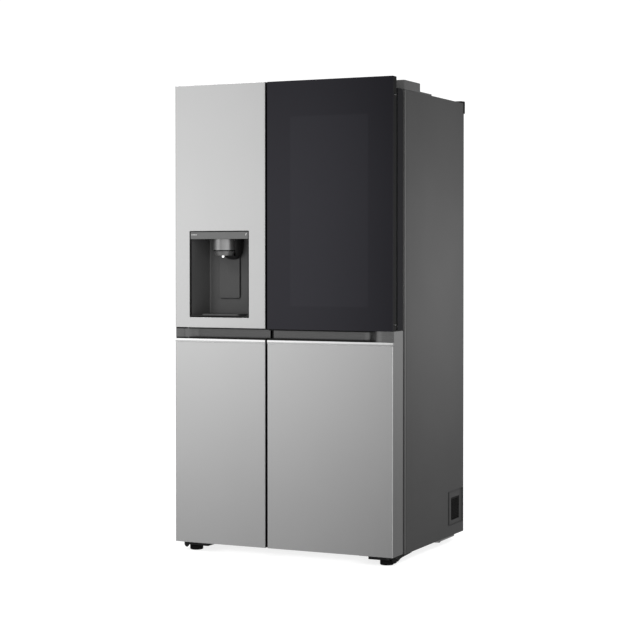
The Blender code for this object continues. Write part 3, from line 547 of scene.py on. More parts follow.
def low_high(node):
    """A node's (x, y, z) spans."""
    low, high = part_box(node)
    return tuple((low[i], high[i]) for i in range(3))


def node_mesh(node):
    """A copy of a CAD node's mesh."""
    return frame["nodes"][node].data.copy()


def refined(name, node, material, body, width=0.0008, steps=2):
    """A CAD node's own shape with its sharp edges rounded."""
    piece(name, softened(node_mesh(node), width, steps), material, body, [node])


def filleted(points, radii, steps=8):
    """An outline whose corners are rounded by arcs, one radius for each point."""
    outline = []
    count = len(points)
    for i, radius in enumerate(radii):
        corner = Vector(points[i])
        if radius == 0:
            outline.append(tuple(corner))
            continue
        before = (Vector(points[i - 1]) - corner).normalized()
        after = (Vector(points[(i + 1) % count]) - corner).normalized()
        half = before.angle(after) / 2
        reach = radius / math.tan(half)
        centre = corner + (before + after).normalized() * (radius / math.sin(half))
        start = corner + before * reach - centre
        sweep = math.pi - 2 * half
        if start.x * after.y - start.y * after.x < 0:
            sweep = -sweep
        for step in range(steps + 1):
            outline.append(tuple(centre + Matrix.Rotation(sweep * step / steps, 2) @ start))
    return outline


def stacked(rings, closed_ends=True):
    """A solid skinned over rings of points that all have the same count."""
    work = bmesh.new()
    rows = [[work.verts.new(point) for point in ring] for ring in rings]
    count = len(rows[0])
    for lower, upper in zip(rows, rows[1:]):
        for i in range(count):
            j = (i + 1) % count
            work.faces.new((lower[i], lower[j], upper[j], upper[i]))
    if closed_ends:
        work.faces.new(rows[0][::-1])
        work.faces.new(rows[-1])
    bmesh.ops.recalc_face_normals(work, faces=work.faces)
    return to_mesh(work)


def swept_frame(section, x, z, axis_depth):
    """A closed rectangular frame in the XZ plane: a section of (inward, depth) points swept round."""
    rings = []
    for sx, sz in ((x[0], z[0]), (x[1], z[0]), (x[1], z[1]), (x[0], z[1])):
        inward_x = 1 if sx == x[0] else -1
        inward_z = 1 if sz == z[0] else -1
        rings.append([(sx + inward_x * a, axis_depth + b, sz + inward_z * a) for a, b in section])
    work = from_mesh(stacked([*rings, rings[0]], closed_ends=False))
    bmesh.ops.remove_doubles(work, verts=work.verts, dist=0.000001)
    bmesh.ops.recalc_face_normals(work, faces=work.faces)
    return to_mesh(work)


def screws(name, places, body, axis, radius=0.0045, height=0.0022, material=None):
    """Cross-headed screws standing on a face, as one piece."""
    heads = []
    along = "XYZ".index(axis[1])
    way = 1 if axis[0] == "+" else -1
    profile = [(0, height), (radius * 0.55, height), (radius * 0.85, height * 0.8),
        (radius, height * 0.35), (radius, 0), (0, 0)]
    for place in places:
        head = turned([(r, h * way) for r, h in profile], (0, 0, 0), axis[1], steps=20)
        work = from_mesh(head)
        bmesh.ops.translate(work, vec=Vector(place), verts=work.verts)
        head = to_mesh(work)
        arms = []
        for long_axis in {0, 1, 2} - {along}:
            spans = [around(c, radius * 0.14) for c in place]
            spans[long_axis] = (place[long_axis] - radius * 0.6, place[long_axis] + radius * 0.6)
            spans[along] = tuple(sorted((place[along] + way * height * 0.5,
                place[along] + way * height * 1.5)))
            arms.append(block(*spans))
        heads.append(carved(head, cuts=arms))
    piece(name, joined(heads), material or ZINC, body)


SHEET = 0.0012         # thickness of the steel
EDGE_ROUND = 0.0035    # rounding of the doors' uprights
SIDES = (("left", -1), ("right", 1))


# Doors
def front_upright(y):
    """Chooses the uprights at the front of a box with this Y span."""
    return lambda place: place.y < (y[0] + y[1]) / 2


def steel_shell(x, y, z, cuts, closed_top=False):
    """Folded sheet: a front with rounded uprights and two sides, open at the back."""
    outer = block(x, y, z, "Z", EDGE_ROUND, choose=front_upright(y))
    inner_z = (z[0] - CUT, z[1] - SHEET if closed_top else z[1] + CUT)
    inner = block(inset(x, SHEET), (y[0] + SHEET, y[1] + CUT), inner_z, "Z", EDGE_ROUND - SHEET,
        choose=front_upright(y))
    return carved(outer, cuts=[inner, *cuts])


def rear_top_corner(rear, top, radius):
    """A cutting tool that rounds the upper rear edge of a door."""
    reach = 0.012
    outline = [(rear - reach, top + CUT), (rear + CUT, top + CUT), (rear + CUT, top - reach),
        (rear, top - reach), (rear, top), (rear - reach, top)]
    return extruded(filleted(outline, [0, 0, 0, 0, radius, 0]), "X", THROUGH)


INNER_DOOR = 0.043            # front of the inner fridge door
RAISED_DEPTH = 0.041          # rear of the doors' raised front
RECESS_Z = (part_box("freezer_handle_pocket")[0].z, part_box("freezer_handle_pocket")[1].z)
NICHE_X, _, NICHE_Z = low_high("dispenser_housing")
INNER_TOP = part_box("fridge_door_core")[1].z


def build_steel_panels():
    x, y, z = low_high("freezer_panel_upper")
    notch = block(THROUGH, (depth(RAISED_DEPTH), 1.0), (INNER_TOP, 2), "X", 0.003)
    back_corner = rear_top_corner(depth(RAISED_DEPTH), z[1], 0.01)
    opening = block(inset(NICHE_X, -GAP), around(FRONT, CUT), inset(NICHE_Z, -GAP), "Y", 0.0025)
    mesh = softened(steel_shell(x, y, z, [notch, back_corner, opening], closed_top=True), 0.0005)
    piece("upper_freezer_panel", mesh, STEEL, "freezer_door", ["freezer_panel_upper"])
    for side, sign in (("freezer", -1), ("fridge", 1)):
        node = side + "_panel_lower"
        x, y, z = low_high(node)
        trim = low_high(side + "_handle_trim")
        outer = mirrored(sign, SIDE, SIDE - 2 * SHEET)
        riser = block(outer, (depth(0.0115), y[1]), (RECESS_Z[0] - 0.02, z[1]))
        space = block(inset(x, -CUT), (FRONT - CUT, trim[1][1] + GAP), (trim[2][0] - GAP, 1.0))
        inner = block(inset(x, SHEET), (y[0] + SHEET, 1.0), (RECESS_Z[0] - 0.03, 1.0))
        shell = steel_shell(x, y, (z[0], RECESS_Z[0]), [space])
        mesh = carved(shell, joins=[riser], cuts=[inner])
        piece("lower_" + side + "_panel", softened(mesh, 0.0005), STEEL, side + "_door", [node])


def build_trims():
    """A bright strip under each handle recess: two upright facets and a rounded top edge."""
    for side, sign in (("freezer", -1), ("fridge", 1)):
        x, y, z = low_high(side + "_handle_trim")
        split = z[0] + 0.0062
        levels = ((z[0], 0.0006), (z[0] + 0.0005, 0.00028), (split, 0.0), (z[1] - 0.0018, 0.00009),
            (z[1] - 0.0012, 0.001), (z[1], 0.0045))
        rings = []
        for level, lean in levels:
            left, right = (x[0] + lean, x[1]) if sign < 0 else (x[0], x[1] - lean)
            rings.append([(left, y[0] + lean, level), (right, y[0] + lean, level), (right, y[1], level),
                (left, y[1], level)])
        piece(side + "_handle_strip", stacked(rings), TRIM, side + "_door", [side + "_handle_trim"],
            smooth=2.0)


def recess_wall(sign, edge, ramp):
    """Front line of a handle recess's back wall, from the free edge outwards."""
    steps = 40
    front, back = 0.003, 0.045
    line = [(edge, depth(back))]
    for i in range(steps + 1):
        share = i / steps
        inner = min(max((share - 0.24) / 0.52, 0.0), 1.0)
        sharp = 0.4 if sign > 0 else 0.0
        ease = (1 - sharp) * share * share * (3 - 2 * share) + sharp * inner * inner * (3 - 2 * inner)
        line.append((ramp[0] + (ramp[1] - ramp[0]) * share, depth(back + (front - back) * ease)))
    line.append((sign * (SIDE - SHEET - GAP), depth(front)))
    return line


def build_pockets():
    for side, sign, ramp in (("freezer", -1, (-0.37, -0.417)), ("fridge", 1, (0.322, 0.411))):
        x, y, z = low_high(side + "_handle_pocket")
        edge = x[1] if sign < 0 else x[0]
        wall = recess_wall(sign, edge, ramp)
        back = [(wall[-1][0], y[1]), (edge, y[1])]
        piece(side + "_recess", extruded(wall + back, "Z", z), RECESS, side + "_door",
            [side + "_handle_pocket"], flat_faces=False)
        # Black plates along the top and bottom of each recess, and across the freezer recess's outer end,
        # are painted shade: dark lines for the shadow under the upper panel and above the trim.
        deep = [point for point in wall if point[1] > depth(0.0135)]
        deep += [(deep[-1][0] + sign * 0.004, depth(0.0125)), (edge, depth(0.0125))]
        shapes = []
        end = sorted((sign * (SIDE - 0.005), deep[-2][0]))
        for levels in ((z[0] - 0.0002, z[0] + 0.0036), (z[1] - 0.0045, z[1])):
            shapes.append(extruded(deep, "Z", levels))
            if sign < 0:
                shapes.append(block(end, depths(0.0012, 0.0135), levels))
        piece(side + "_recess_shade_plates", joined(shapes), BLACK, side + "_door")


def build_dispenser():
    x, y, z = NICHE_X, low_high("dispenser_housing")[1], NICHE_Z
    strip = low_high("dispenser_display")
    tray_x, tray_y, tray_z = low_high("drip_tray")
    paddle = low_high("dispenser_paddle")
    nozzle = low_high("dispenser_nozzle")
    ceiling = strip[2][0] - GAP
    floor = tray_z[0] - GAP
    wall = depth(0.09)
    outline = filleted([(x[0] + 0.003, FRONT - CUT), (x[0] + 0.003, depth(0.006)), (x[0] + 0.041, wall),
        (x[1] - 0.041, wall), (x[1] - 0.003, depth(0.006)), (x[1] - 0.003, FRONT - CUT)],
        [0, 0.012, 0.007, 0.007, 0.012, 0], 8)
    room = softened(extruded(outline, "Z", (floor, ceiling)), 0.0012, 3, 60.0)
    gap = 0.0022

    def paddle_hole(shrink, y_span, top):
        return block(inset(paddle[0], shrink - gap), y_span, (paddle[2][0] - gap + shrink, top), "Y",
            0.007 - shrink, choose=lambda place: place.z < 1.0)

    hole = paddle_hole(0.0, depths(0.08, 0.107), 1.166)
    liner = paddle_hole(0.0001, depths(0.0908, 0.1069), 1.1658)
    space = paddle_hole(0.0008, depths(0.08, 0.11), 1.2)
    # A black lining in the gap round the paddle: painted shade inside the gap.
    piece("paddle_gap_shade_liner", carved(liner, cuts=[space]), BLACK, "freezer_door")
    back = block((-0.321, -0.205), (depth(0.088), y[1]), (0.95, 1.18), "Y", 0.004)
    upper = block(inset(x, -CUT), (FRONT - CUT, strip[1][1] + GAP), (ceiling, 2))
    shell = block(x, (y[0], depth(0.092)), z, "Y", 0.0022)
    mesh = carved(shell, joins=[back], cuts=[room, hole, upper])
    piece("dispenser_well", softened(mesh, 0.0004, 2, 50.0), NICHE, "freezer_door", ["dispenser_housing"])
    section = [(0.0, 0.0), (0.0034, 0.0), (0.0038, 0.003), (0.0038, 0.0085), (0.0, 0.0085)]
    sill = block(inset(x, 0.003), (FRONT + GAP, tray_y[0] - GAP), (z[0] + 0.003, floor - 0.0001),
        edge=0.0004, edge_steps=1)
    piece("dispenser_rim", joined([swept_frame(section, x, z, FRONT + 0.0001), sill]), BLACK,
        "freezer_door")
    strip_x = inset(x, 0.0039)
    display = block(strip_x, strip[1], (strip[2][0], z[1] - 0.0039), "Y", 0.001, edge=0.0006,
        choose=lambda place: place.z > sum(strip[2]) / 2)
    piece("display_strip", display, DISPLAY, "freezer_door", ["dispenser_display"])
    level = sum(strip[2]) / 2 + 0.001
    marks = [block((x[0] + 0.008 + i * 0.0062, x[0] + 0.0125 + i * 0.0062),
        (FRONT - 0.0001, FRONT + 0.002), around(level, 0.0012), "Y", 0.0008) for i in range(4)]
    marks.append(block((x[1] - 0.0135, x[1] - 0.012), (FRONT - 0.0001, FRONT + 0.002),
        around(level, 0.0045), "Y", 0.0007))
    marks.append(rod(0.0014, -0.0012, 0.0012, (x[1] - 0.0095, FRONT + 0.0011, level + 0.003), "Y", 20))
    piece("display_marks", joined(marks), MARK, "freezer_door")
    build_nozzle(nozzle, ceiling, wall)
    build_paddle(paddle)
    build_drip_tray(tray_x, tray_y, tray_z)


def build_nozzle(nozzle, ceiling, wall):
    middle = (sum(nozzle[0]) / 2, sum(nozzle[1]) / 2, 0)
    radius = (nozzle[0][1] - nozzle[0][0]) / 2
    low = nozzle[2][0]
    joint = low + 0.0185
    profile = [(0, ceiling), (radius, ceiling), (radius, joint + 0.0026),
        (radius - 0.0006, joint + 0.0018), (radius - 0.004, joint + 0.0016),
        (radius - 0.004, joint - 0.0014), (radius - 0.0022, joint - 0.0018),
        (radius - 0.0028, joint - 0.003), (radius - 0.0085, low + 0.0022), (radius - 0.01, low),
        (radius - 0.0135, low), (radius - 0.015, low + 0.036), (0, low + 0.037)]
    paddle = low_high("dispenser_paddle")
    clearance = block(inset(paddle[0], -0.002), (paddle[1][0] - 0.0008, 1), (0, paddle[2][1] + 0.0015))
    barrel = carved(turned(profile, middle, "Z", 72), cuts=[clearance])
    piece("nozzle_barrel", barrel, SILVER, "freezer_door", ["dispenser_nozzle"])
    seam = [(radius - 0.0045, joint + 0.0024), (radius + 0.0002, joint + 0.0024),
        (radius + 0.0002, joint - 0.0014), (radius - 0.0045, joint - 0.0014),
        (radius - 0.0045, joint + 0.0024)]
    piece("nozzle_seam", turned(seam, middle, "Z", 72), BLACK, "freezer_door")
    # The water tip glows: a painted highlight.
    tip = (middle[0] + 0.006, middle[1] - 0.024, 0)
    spout = [(0, low + 0.02), (0.0046, low + 0.02), (0.0046, low - 0.0035), (0.004, low - 0.0062),
        (0.0026, low - 0.0072), (0.0022, low + 0.001), (0, low + 0.001)]
    piece("water_tip", turned(spout, tip, "Z", 32), TIP_GLOW, "freezer_door")
    # A dark, chute-shaped body behind the nozzle: painted shadow for the nozzle's shadow cast on the back
    # wall.
    shadow_centre = (middle[0] + 0.018, middle[1] + 0.034, 0)
    bowl = [(0, ceiling), (0.043, ceiling), (0.043, low + 0.036), (0.0415, low + 0.024),
        (0.039, low + 0.012), (0.034, low + 0.001), (0.028, low - 0.007), (0.02, low - 0.012),
        (0.008, low - 0.0145), (0, low - 0.015)]
    shadow_shape = turned(bowl, shadow_centre, "Z", 56)
    space = rod(radius + GAP, 2, low - 0.001, middle, "Z", 72)
    behind = block(THROUGH, (wall - 0.001, 1), (0, 2))
    piece("nozzle_shadow_body", carved(shadow_shape, cuts=[space, behind, clearance]), NOZZLE_SHADOW, "freezer_door")


def build_paddle(paddle):
    plate = block(paddle[0], (paddle[1][0], paddle[1][0] + 0.0035), (paddle[2][0], paddle[2][1] - 0.0035),
        "Y", 0.006, edge=0.0006, choose=lambda place: place.z < 1.0)
    pivot = turned([(0, 0.044), (0.0032, 0.044), (0.0035, 0.0436), (0.0035, -0.0436), (0.0032, -0.044),
        (0, -0.044)], (sum(paddle[0]) / 2, paddle[1][1] - 0.0035, paddle[2][1] - 0.0035), "X", 24)
    piece("paddle_plate", carved(plate, joins=[pivot]), NICHE, "paddle", ["dispenser_paddle"])


def build_drip_tray(x, y, z):
    slots = []
    count = 15
    for i in range(count):
        centre = x[0] + 0.008 + (x[1] - x[0] - 0.016) * (i + 0.5) / count
        slots.append(block(around(centre, 0.003), (y[0] + 0.01, y[1] - 0.008), (z[1] - 0.003, z[1] + CUT),
            "Z", 0.0025))
    dish = block(x, y, z, "Z", 0.01, edge=0.001)
    piece("drip_grille", carved(dish, cuts=[joined(slots)]), NICHE, "tray", ["drip_tray"])


# Fridge door and its glass door
ARM_LEVELS = (0.885, 1.725)
OUTER_PIN = (0.44, depth(0.024))


def build_glass_door():
    x, y, z = low_high("glass_door_panel")
    glass = block(x, y, z, "Y", 0.002, edge=0.0009)
    piece("door_glass_pane", glass, DOOR_GLASS, "glass_door", ["glass_door_panel"])
    x, y, z = low_high("glass_door_frame")
    rear_right = lambda place: place.y > y[1] - 0.001 and place.x > x[1] - 0.001
    frame_block = block(x, y, z, "Z", 0.01, edge=0.0012, corner_steps=8, choose=rear_right)
    window = block(WINDOW_X, (FRONT - CUT, y[1] + CUT), WINDOW_Z, "Y", 0.006)
    lever_x, lever_y, lever_z = low_high("glass_release_lever")
    groove = block(inset(lever_x, -0.002), (lever_y[0] - 0.0015, lever_y[1] + 0.002),
        (z[0] - CUT, lever_z[1] + 0.012), "Y", 0.002)
    slots = []
    for level in ARM_LEVELS:
        slots.append(block((0.396, x[1] + CUT), (depth(0.009), y[1] + CUT), around(level, 0.0024)))
        slots.append(rod(0.0033, level + 0.0115, level - 0.0115, (*OUTER_PIN, 0), "Z", 24))
    step = block((x[0] + 0.012, x[1] - 0.03), (y[1] - 0.0015, y[1] + CUT), (z[0] + 0.03, z[1] - 0.06), "Y",
        0.01)
    sight = block(inset(WINDOW_X, -0.01), (y[0] + 0.012, y[1] - 0.004), inset(WINDOW_Z, -0.01))
    top_rear = rear_top_corner(y[1], z[1], 0.0115)
    mesh = carved(frame_block, cuts=[window, groove, *slots, step, sight, top_rear])
    piece("glass_door_surround", mesh, FRAME, "glass_door", ["glass_door_frame"])
    inner_pane = block(inset(WINDOW_X, -0.008), (y[1] - 0.01, y[1] - 0.0065), inset(WINDOW_Z, -0.008), "Y",
        0.003, edge=0.0006)
    piece("inner_window_pane", inner_pane, TINTED, "glass_door")
    bellows_frame("glass_door_seal", "glass_door_gasket", "glass_door", 0.011)
    lever = block(lever_x, lever_y, lever_z, "Z", 0.002, edge=0.0008)
    piece("release_bar", lever, DARK, "release_lever", ["glass_release_lever"])
    refined("outer_hinge_strip", "glass_door_hinge", BLACK_PAINT, "fridge_door", 0.0005)


def bellows_frame(name, node, body, width):
    """A rubber seal with a folded outer wall, swept round a door."""
    x, y, z = low_high(node)
    deep = y[1] - y[0]
    section = []
    folds = 3
    steps = 5
    for i in range(folds * steps + 1):
        share = i / (folds * steps)
        swell = math.cos(math.tau * folds * share)
        section.append((0.0008 + 0.0008 * swell, deep * share))
    section += [(width, deep), (width + 0.0008, deep * 0.7), (width - 0.001, deep * 0.5),
        (width + 0.0008, deep * 0.25), (width, 0.0)]
    piece(name, swept_frame(section, x, z, y[0]), SEAL, body, [node], smooth=50.0)


def build_fridge_door():
    core = low_high("fridge_door_core")
    low_z = RECESS_Z[1] + GAP
    y = (depth(INNER_DOOR), core[1][1])
    x = (core[0][0] - SHEET - GAP, SIDE)
    wrap = block(x, y, (low_z, INNER_TOP), edge=0.0004, edge_steps=2)
    room = block(inset(x, SHEET), inset(y, -CUT), (low_z - CUT, INNER_TOP + CUT))
    piece("inner_door_skin", carved(wrap, cuts=[room]), SKIN, "fridge_door")
    cap = block((core[0][1] + 0.0001, SIDE - 0.0001), (depth(INNER_DOOR), core[1][1]),
        (low_high("fridge_panel_lower")[2][1] + 0.0002, low_z - 0.0001))
    piece("door_step_cap", cap, BLACK, "fridge_door")
    seal = low_high("glass_door_gasket")
    plate = block((core[0][0] + GAP, SIDE - SHEET - 0.0001), (y[0] - 0.0007, y[0] - 0.0001),
        (low_z + 0.0005, INNER_TOP - GAP))
    middle = block(inset(seal[0], -0.0004), around(y[0], CUT), inset(seal[2], -0.0004))
    arms = [block((0.4, 0.4495), around(y[0], CUT), around(level, 0.002)) for level in ARM_LEVELS]
    piece("inner_door_border", carved(plate, cuts=[middle, *arms]), SKIN, "fridge_door")
    mesh = softened(node_mesh("fridge_door_core"), 0.0022, 3, 40.0)
    piece("inner_fridge_door", mesh, WHITE, "fridge_door", ["fridge_door_core"])
    bellows_frame("fridge_seal", "fridge_gasket", "fridge_door", 0.013)


def build_gap_shade_films():
    """Thin black films on the two faces that look across the gap between the doors: painted shade for the
    darkness in the gap.
    """
    freezer = low_high("freezer_panel_upper")
    fridge = low_high("fridge_panel_lower")
    for side, face, sign in (("freezer", freezer[0][1], 1), ("fridge", fridge[0][0], -1)):
        x = sorted((face + sign * 0.0001, face + sign * 0.0007))
        spans = [(fridge[2][0] + 0.002, RECESS_Z[0] - 0.002), (RECESS_Z[1] + 0.002, freezer[2][1] - 0.002)]
        films = [block(x, (FRONT + EDGE_ROUND + 0.0005, depth(0.024)), z, edge=0.0002, edge_steps=1)
            for z in (spans if side == "freezer" else spans[:1])]
        rear = freezer[1][1]
        films.append(block(x, (depth(0.046), rear - 0.0005), RECESS_Z, edge=0.0002, edge_steps=1))
        if side == "fridge":
            films.append(block((face + GAP, face + 0.005), depths(0.044, 0.0449),
                (RECESS_Z[0] + 0.003, RECESS_Z[1] - 0.005)))
        piece(side + "_gap_shade_film", joined(films), BLACK, side + "_door")


def build_freezer_door():
    mesh = softened(node_mesh("freezer_door_core"), 0.0022, 3, 40.0)
    piece("inner_freezer_door", mesh, WHITE, "freezer_door", ["freezer_door_core"])
    bellows_frame("freezer_seal", "freezer_gasket", "freezer_door", 0.013)


# Case
def build_side(name, sign):
    node = "side_panel_" + name
    x, y, z = low_high(node)
    face = sign * SIDE
    inner = sign * (SIDE - SHEET)
    sheet = block(sorted((inner, face)), y, z)
    flange = block(sorted((face, sign * (SIDE - 0.022))), (y[0], y[0] + SHEET), z)
    fold = block(sorted((face, sign * (SIDE - 0.01))), (y[1] - SHEET, y[1]), (z[0], 0.262))
    dish_y = (depth(0.567), y[1] - 0.009)
    dish_z = (0.075, 0.208)
    floor = sign * (SIDE - 0.006)
    boss = block(sorted((floor - sign * SHEET, face - sign * SHEET / 2)), inset(dish_y, -SHEET),
        inset(dish_z, -SHEET), "X", 0.004)
    slope = 0.004
    rings = []
    for level, spread in ((floor, 0.0), (face, slope), (face + sign * 0.002, slope * 1.333)):
        rise = spread * 0.4
        outline = filleted([(dish_y[0] - spread, dish_z[0] - rise), (dish_y[1] + spread, dish_z[0] - rise),
            (dish_y[1] + spread, dish_z[1] + rise), (dish_y[0] - spread, dish_z[1] + rise)], [0.004] * 4,
            5)
        rings.append([(level, a, b) for a, b in outline])
    grille = low_high("vent_grille_" + name)
    window = block(around(face, 0.02), inset(grille[1], 0.0045), inset(grille[2], 0.0045), "X", 0.002)
    line = block(sorted((face - sign * 0.0004, face + sign * 0.01)), (y[0] + 0.0185, y[0] + 0.02),
        inset(z, -1))
    mesh = carved(sheet, joins=[flange, fold, boss], cuts=[stacked(rings), window, line])
    work = from_mesh(mesh)
    bmesh.ops.remove_doubles(work, verts=work.verts, dist=0.00001)
    uprights = [e for e in sharp_edges(work) if along_axis(e, "Z")
        and all(abs(v.co.x - face) < 0.0001 and (abs(v.co.y - y[0]) < 0.0001 or abs(v.co.y
        - y[1]) < 0.0001) for v in e.verts)]
    bevel(work, uprights, 0.0022, 5)
    piece("case_side_" + name, to_mesh(work), CASE, "cabinet", [node])
    # A black strip on the vent dish's floor just behind its front edge: painted shade where the front wall
    # shades the floor.
    edge = block(sorted((floor + sign * 0.0001, floor + sign * 0.0009)),
        (dish_y[0] + 0.0015, dish_y[0] + 0.023), inset(dish_z, 0.002), "X", 0.002, edge=0.0003,
        edge_steps=1)
    filter_x = mirrored(sign, SIDE - 0.018, SIDE - 0.0188)
    dust_filter = block(filter_x, inset(grille[1], -0.004), inset(grille[2], -0.004), "X", 0.002)
    piece("vent_shade_strip_and_filter_" + name, joined([edge, dust_filter]), BLACK, "cabinet")
    # A lighter strip along the front of each case side: painted highlight where the front edge catches the
    # light.
    bead_and_highlight = block(sorted((face - sign * 0.0002, face + sign * 0.0005)), (y[0] + 0.0024, y[0] + 0.011),
        (z[0] + 0.001, z[1] - 0.003), edge=0.0003, edge_steps=1)
    piece("case_front_highlight_strip_" + name, bead_and_highlight, CASE_EDGE_HIGHLIGHT, "cabinet")
    build_vent(name, grille)


def build_vent(name, grille):
    """A black grille with staggered hexagonal holes."""
    x, y, z = grille
    pitch = 0.0072
    holes = []
    rows = int((z[1] - z[0] - 0.012) / (pitch * 0.866))
    columns = int((y[1] - y[0] - 0.012) / pitch)
    for row in range(rows):
        for column in range(columns - row % 2):
            place = (y[0] + 0.006 + pitch * (column + 0.5 + 0.5 * (row % 2)),
                z[0] + 0.006 + pitch * 0.866 * (row + 0.5))
            ring = [(place[0] + 0.0031 * math.sin(math.tau * k / 6),
                place[1] + 0.0031 * math.cos(math.tau * k / 6)) for k in range(6)]
            holes.append(extruded(ring, "X", inset(x, -CUT)))
    plate = block(x, y, z, "X", 0.003)
    piece("vent_" + name, carved(plate, cuts=[joined(holes)]), GRILLE, "cabinet", ["vent_grille_" + name],
        smooth=20.0)


def embossed(x, z, y_face, beads):
    """An upright sheet facing along Y with raised rounded fields."""
    sheet = block(x, (y_face - SHEET, y_face), z, edge=0.0003)
    raised = [block(bead_and_highlight[0], (y_face - 0.006, y_face + 0.0045), bead_and_highlight[1], "Y", 0.022, edge=0.0042)
        for bead_and_highlight in beads]
    return carved(sheet, joins=raised)


def build_back():
    x, y, z = low_high("back_panel")
    count_x, count_z = 2, 4
    beads = []
    for i in range(count_x):
        for k in range(count_z):
            left = x[0] + 0.05 + i * (x[1] - x[0] - 0.06) / count_x
            low = z[0] + 0.05 + k * (z[1] - z[0] - 0.06) / count_z
            right = left + (x[1] - x[0] - 0.06) / count_x - 0.04
            high = low + (z[1] - z[0] - 0.06) / count_z - 0.04
            beads.append(((left, right), (low, high)))
    piece("rear_sheet", embossed(x, z, y[1], beads), ZINC, "cabinet", ["back_panel"])
    rim = [(x[0] + 0.012 + i * (x[1] - x[0] - 0.024) / 7, y[1], level) for i in range(8)
        for level in inset(z, 0.012)]
    screws("rear_sheet_screws", rim, "cabinet", "+Y")
    build_machine_cover()


def build_machine_cover():
    x, y, z = low_high("machine_cover")
    plate_y = (y[0], y[0] + 0.002)
    plate = block(x, plate_y, z, "Y", 0.008, edge=0.0004)
    slots = []
    hoods = []
    for column in range(8):
        middle = -0.4 + 0.1 * (column + 0.5)
        for row in range(4):
            level = 0.075 + 0.04 * (row + 0.5)
            slots.append(block(around(middle, 0.036), around(y[0], CUT), (level - 0.006, level + 0.004),
                "Y", 0.003))
            hoods.append(block(around(middle, 0.037), (y[0] + 0.0012, y[0] + 0.0065),
                (level + 0.0042, level + 0.0062), "Z", 0.003))
    gland = (0.405, y[0], 0.048)
    inlet = (-0.405, y[0], 0.048)
    mesh = carved(plate, cuts=[joined(slots)])
    piece("rear_machine_cover", joined([mesh, *hoods]), ZINC, "cabinet", ["machine_cover"])
    collar = [(0, 0.0018), (0.0115, 0.0018), (0.0115, 0.004), (0.01, 0.0052), (0.0085, 0.0098),
        (0.005, 0.0098), (0.0046, 0.004), (0, 0.004)]
    piece("cord_gland", turned(collar, gland, "Y", 36), BLACK, "cabinet")
    thread = [(0, 0.0018), (0.0125, 0.0018), (0.0125, 0.0032), (0.01, 0.0034)]
    for i in range(4):
        thread += [(0.01, 0.004 + i * 0.0016), (0.0092, 0.0048 + i * 0.0016)]
    thread += [(0.0092, 0.0108), (0.0066, 0.0108), (0.0062, 0.004), (0, 0.004)]
    piece("water_inlet", turned(thread, inlet, "Y", 36), WHITE, "cabinet", smooth=25.0)
    corners = [(side * 0.434, plate_y[1], level) for side in (-1, 1) for level in (0.1, 0.17, 0.24)]
    screws("cover_screws", corners, "cabinet", "+Y")


def build_top():
    x, y, z = low_high("top_panel")
    sheet = block(x, (y[0] + SHEET, y[1]), (z[1] - SHEET, z[1]))
    flange = block(inset(x, 0.021), (y[0], y[0] + SHEET), (z[0], z[1]))
    lip = block(inset(x, 0.021), (y[0], y[0] + 0.01), (z[1] - SHEET, z[1]))
    beads = [block((x[0] + 0.06 + i * 0.27, x[0] + 0.27 + i * 0.27), depths(0.43, 0.69),
        (z[1] - 0.0006, z[1] + 0.002), "Z", 0.012, edge=0.0015) for i in range(3)]
    mesh = softened(carved(sheet, joins=[lip, flange, *beads]), 0.0005, 2, 50.0)
    piece("case_top", mesh, CASE, "cabinet", ["top_panel"])
    for name, sign in SIDES:
        build_hinge_cover(name, sign)
        refined("upper_hinge_" + name, "top_hinge_" + name, ZINC, "cabinet", 0.0006)
        cap = low_high("rear_cap_" + name)
        wrap = block(mirrored(sign, SIDE - 0.001, SIDE + 0.0009), (cap[1][1] - 0.018, cap[1][1]), cap[2],
            "X", 0.002, edge=0.0004)
        spacer = softened(node_mesh("rear_cap_" + name), 0.0025, 3)
        piece("spacer_" + name, joined([spacer, wrap]), BLACK, "cabinet", ["rear_cap_" + name])
        screws("spacer_screw_" + name, [(sign * 0.43, cap[1][1] - 0.012, cap[2][1])], "cabinet", "+Z",
            height=0.0016)


def build_hinge_cover(name, sign):
    node = "hinge_cover_" + name
    x, y, z = low_high(node)
    body_y = (y[0], depth(0.268))
    shell = block(x, body_y, z, "Z", 0.006, edge=0.0025, corner_steps=6, edge_steps=4)
    slab = block(mirrored(sign, 0.36, SIDE), (depth(0.255), y[1]), (z[0], z[0] + 0.0052), "Z", 0.004,
        edge=0.0012)
    wall = 0.002
    room = block(inset(x, wall), inset(body_y, wall), (z[0] - CUT, z[1] - wall), "Z", 0.004)
    mouth = block(mirrored(sign, 0.38, 0.43), around(y[0], CUT), (z[0] - CUT, z[0] + 0.006))
    grooves = joined([block(inset(x, 0.02), (depth(0.15) + i * 0.03, depth(0.152) + i * 0.03),
        (z[1] - 0.0008, z[1] + 0.001)) for i in range(4)])
    mesh = carved(shell, joins=[slab], cuts=[room, mouth, grooves])
    piece("hinge_cap_" + name, mesh, COVER, "cabinet", [node])
    screws("hinge_cap_screw_" + name, [(sign * 0.405, depth(0.33), z[0] + 0.0052)], "cabinet", "+Z",
        material=BLACK_PAINT)


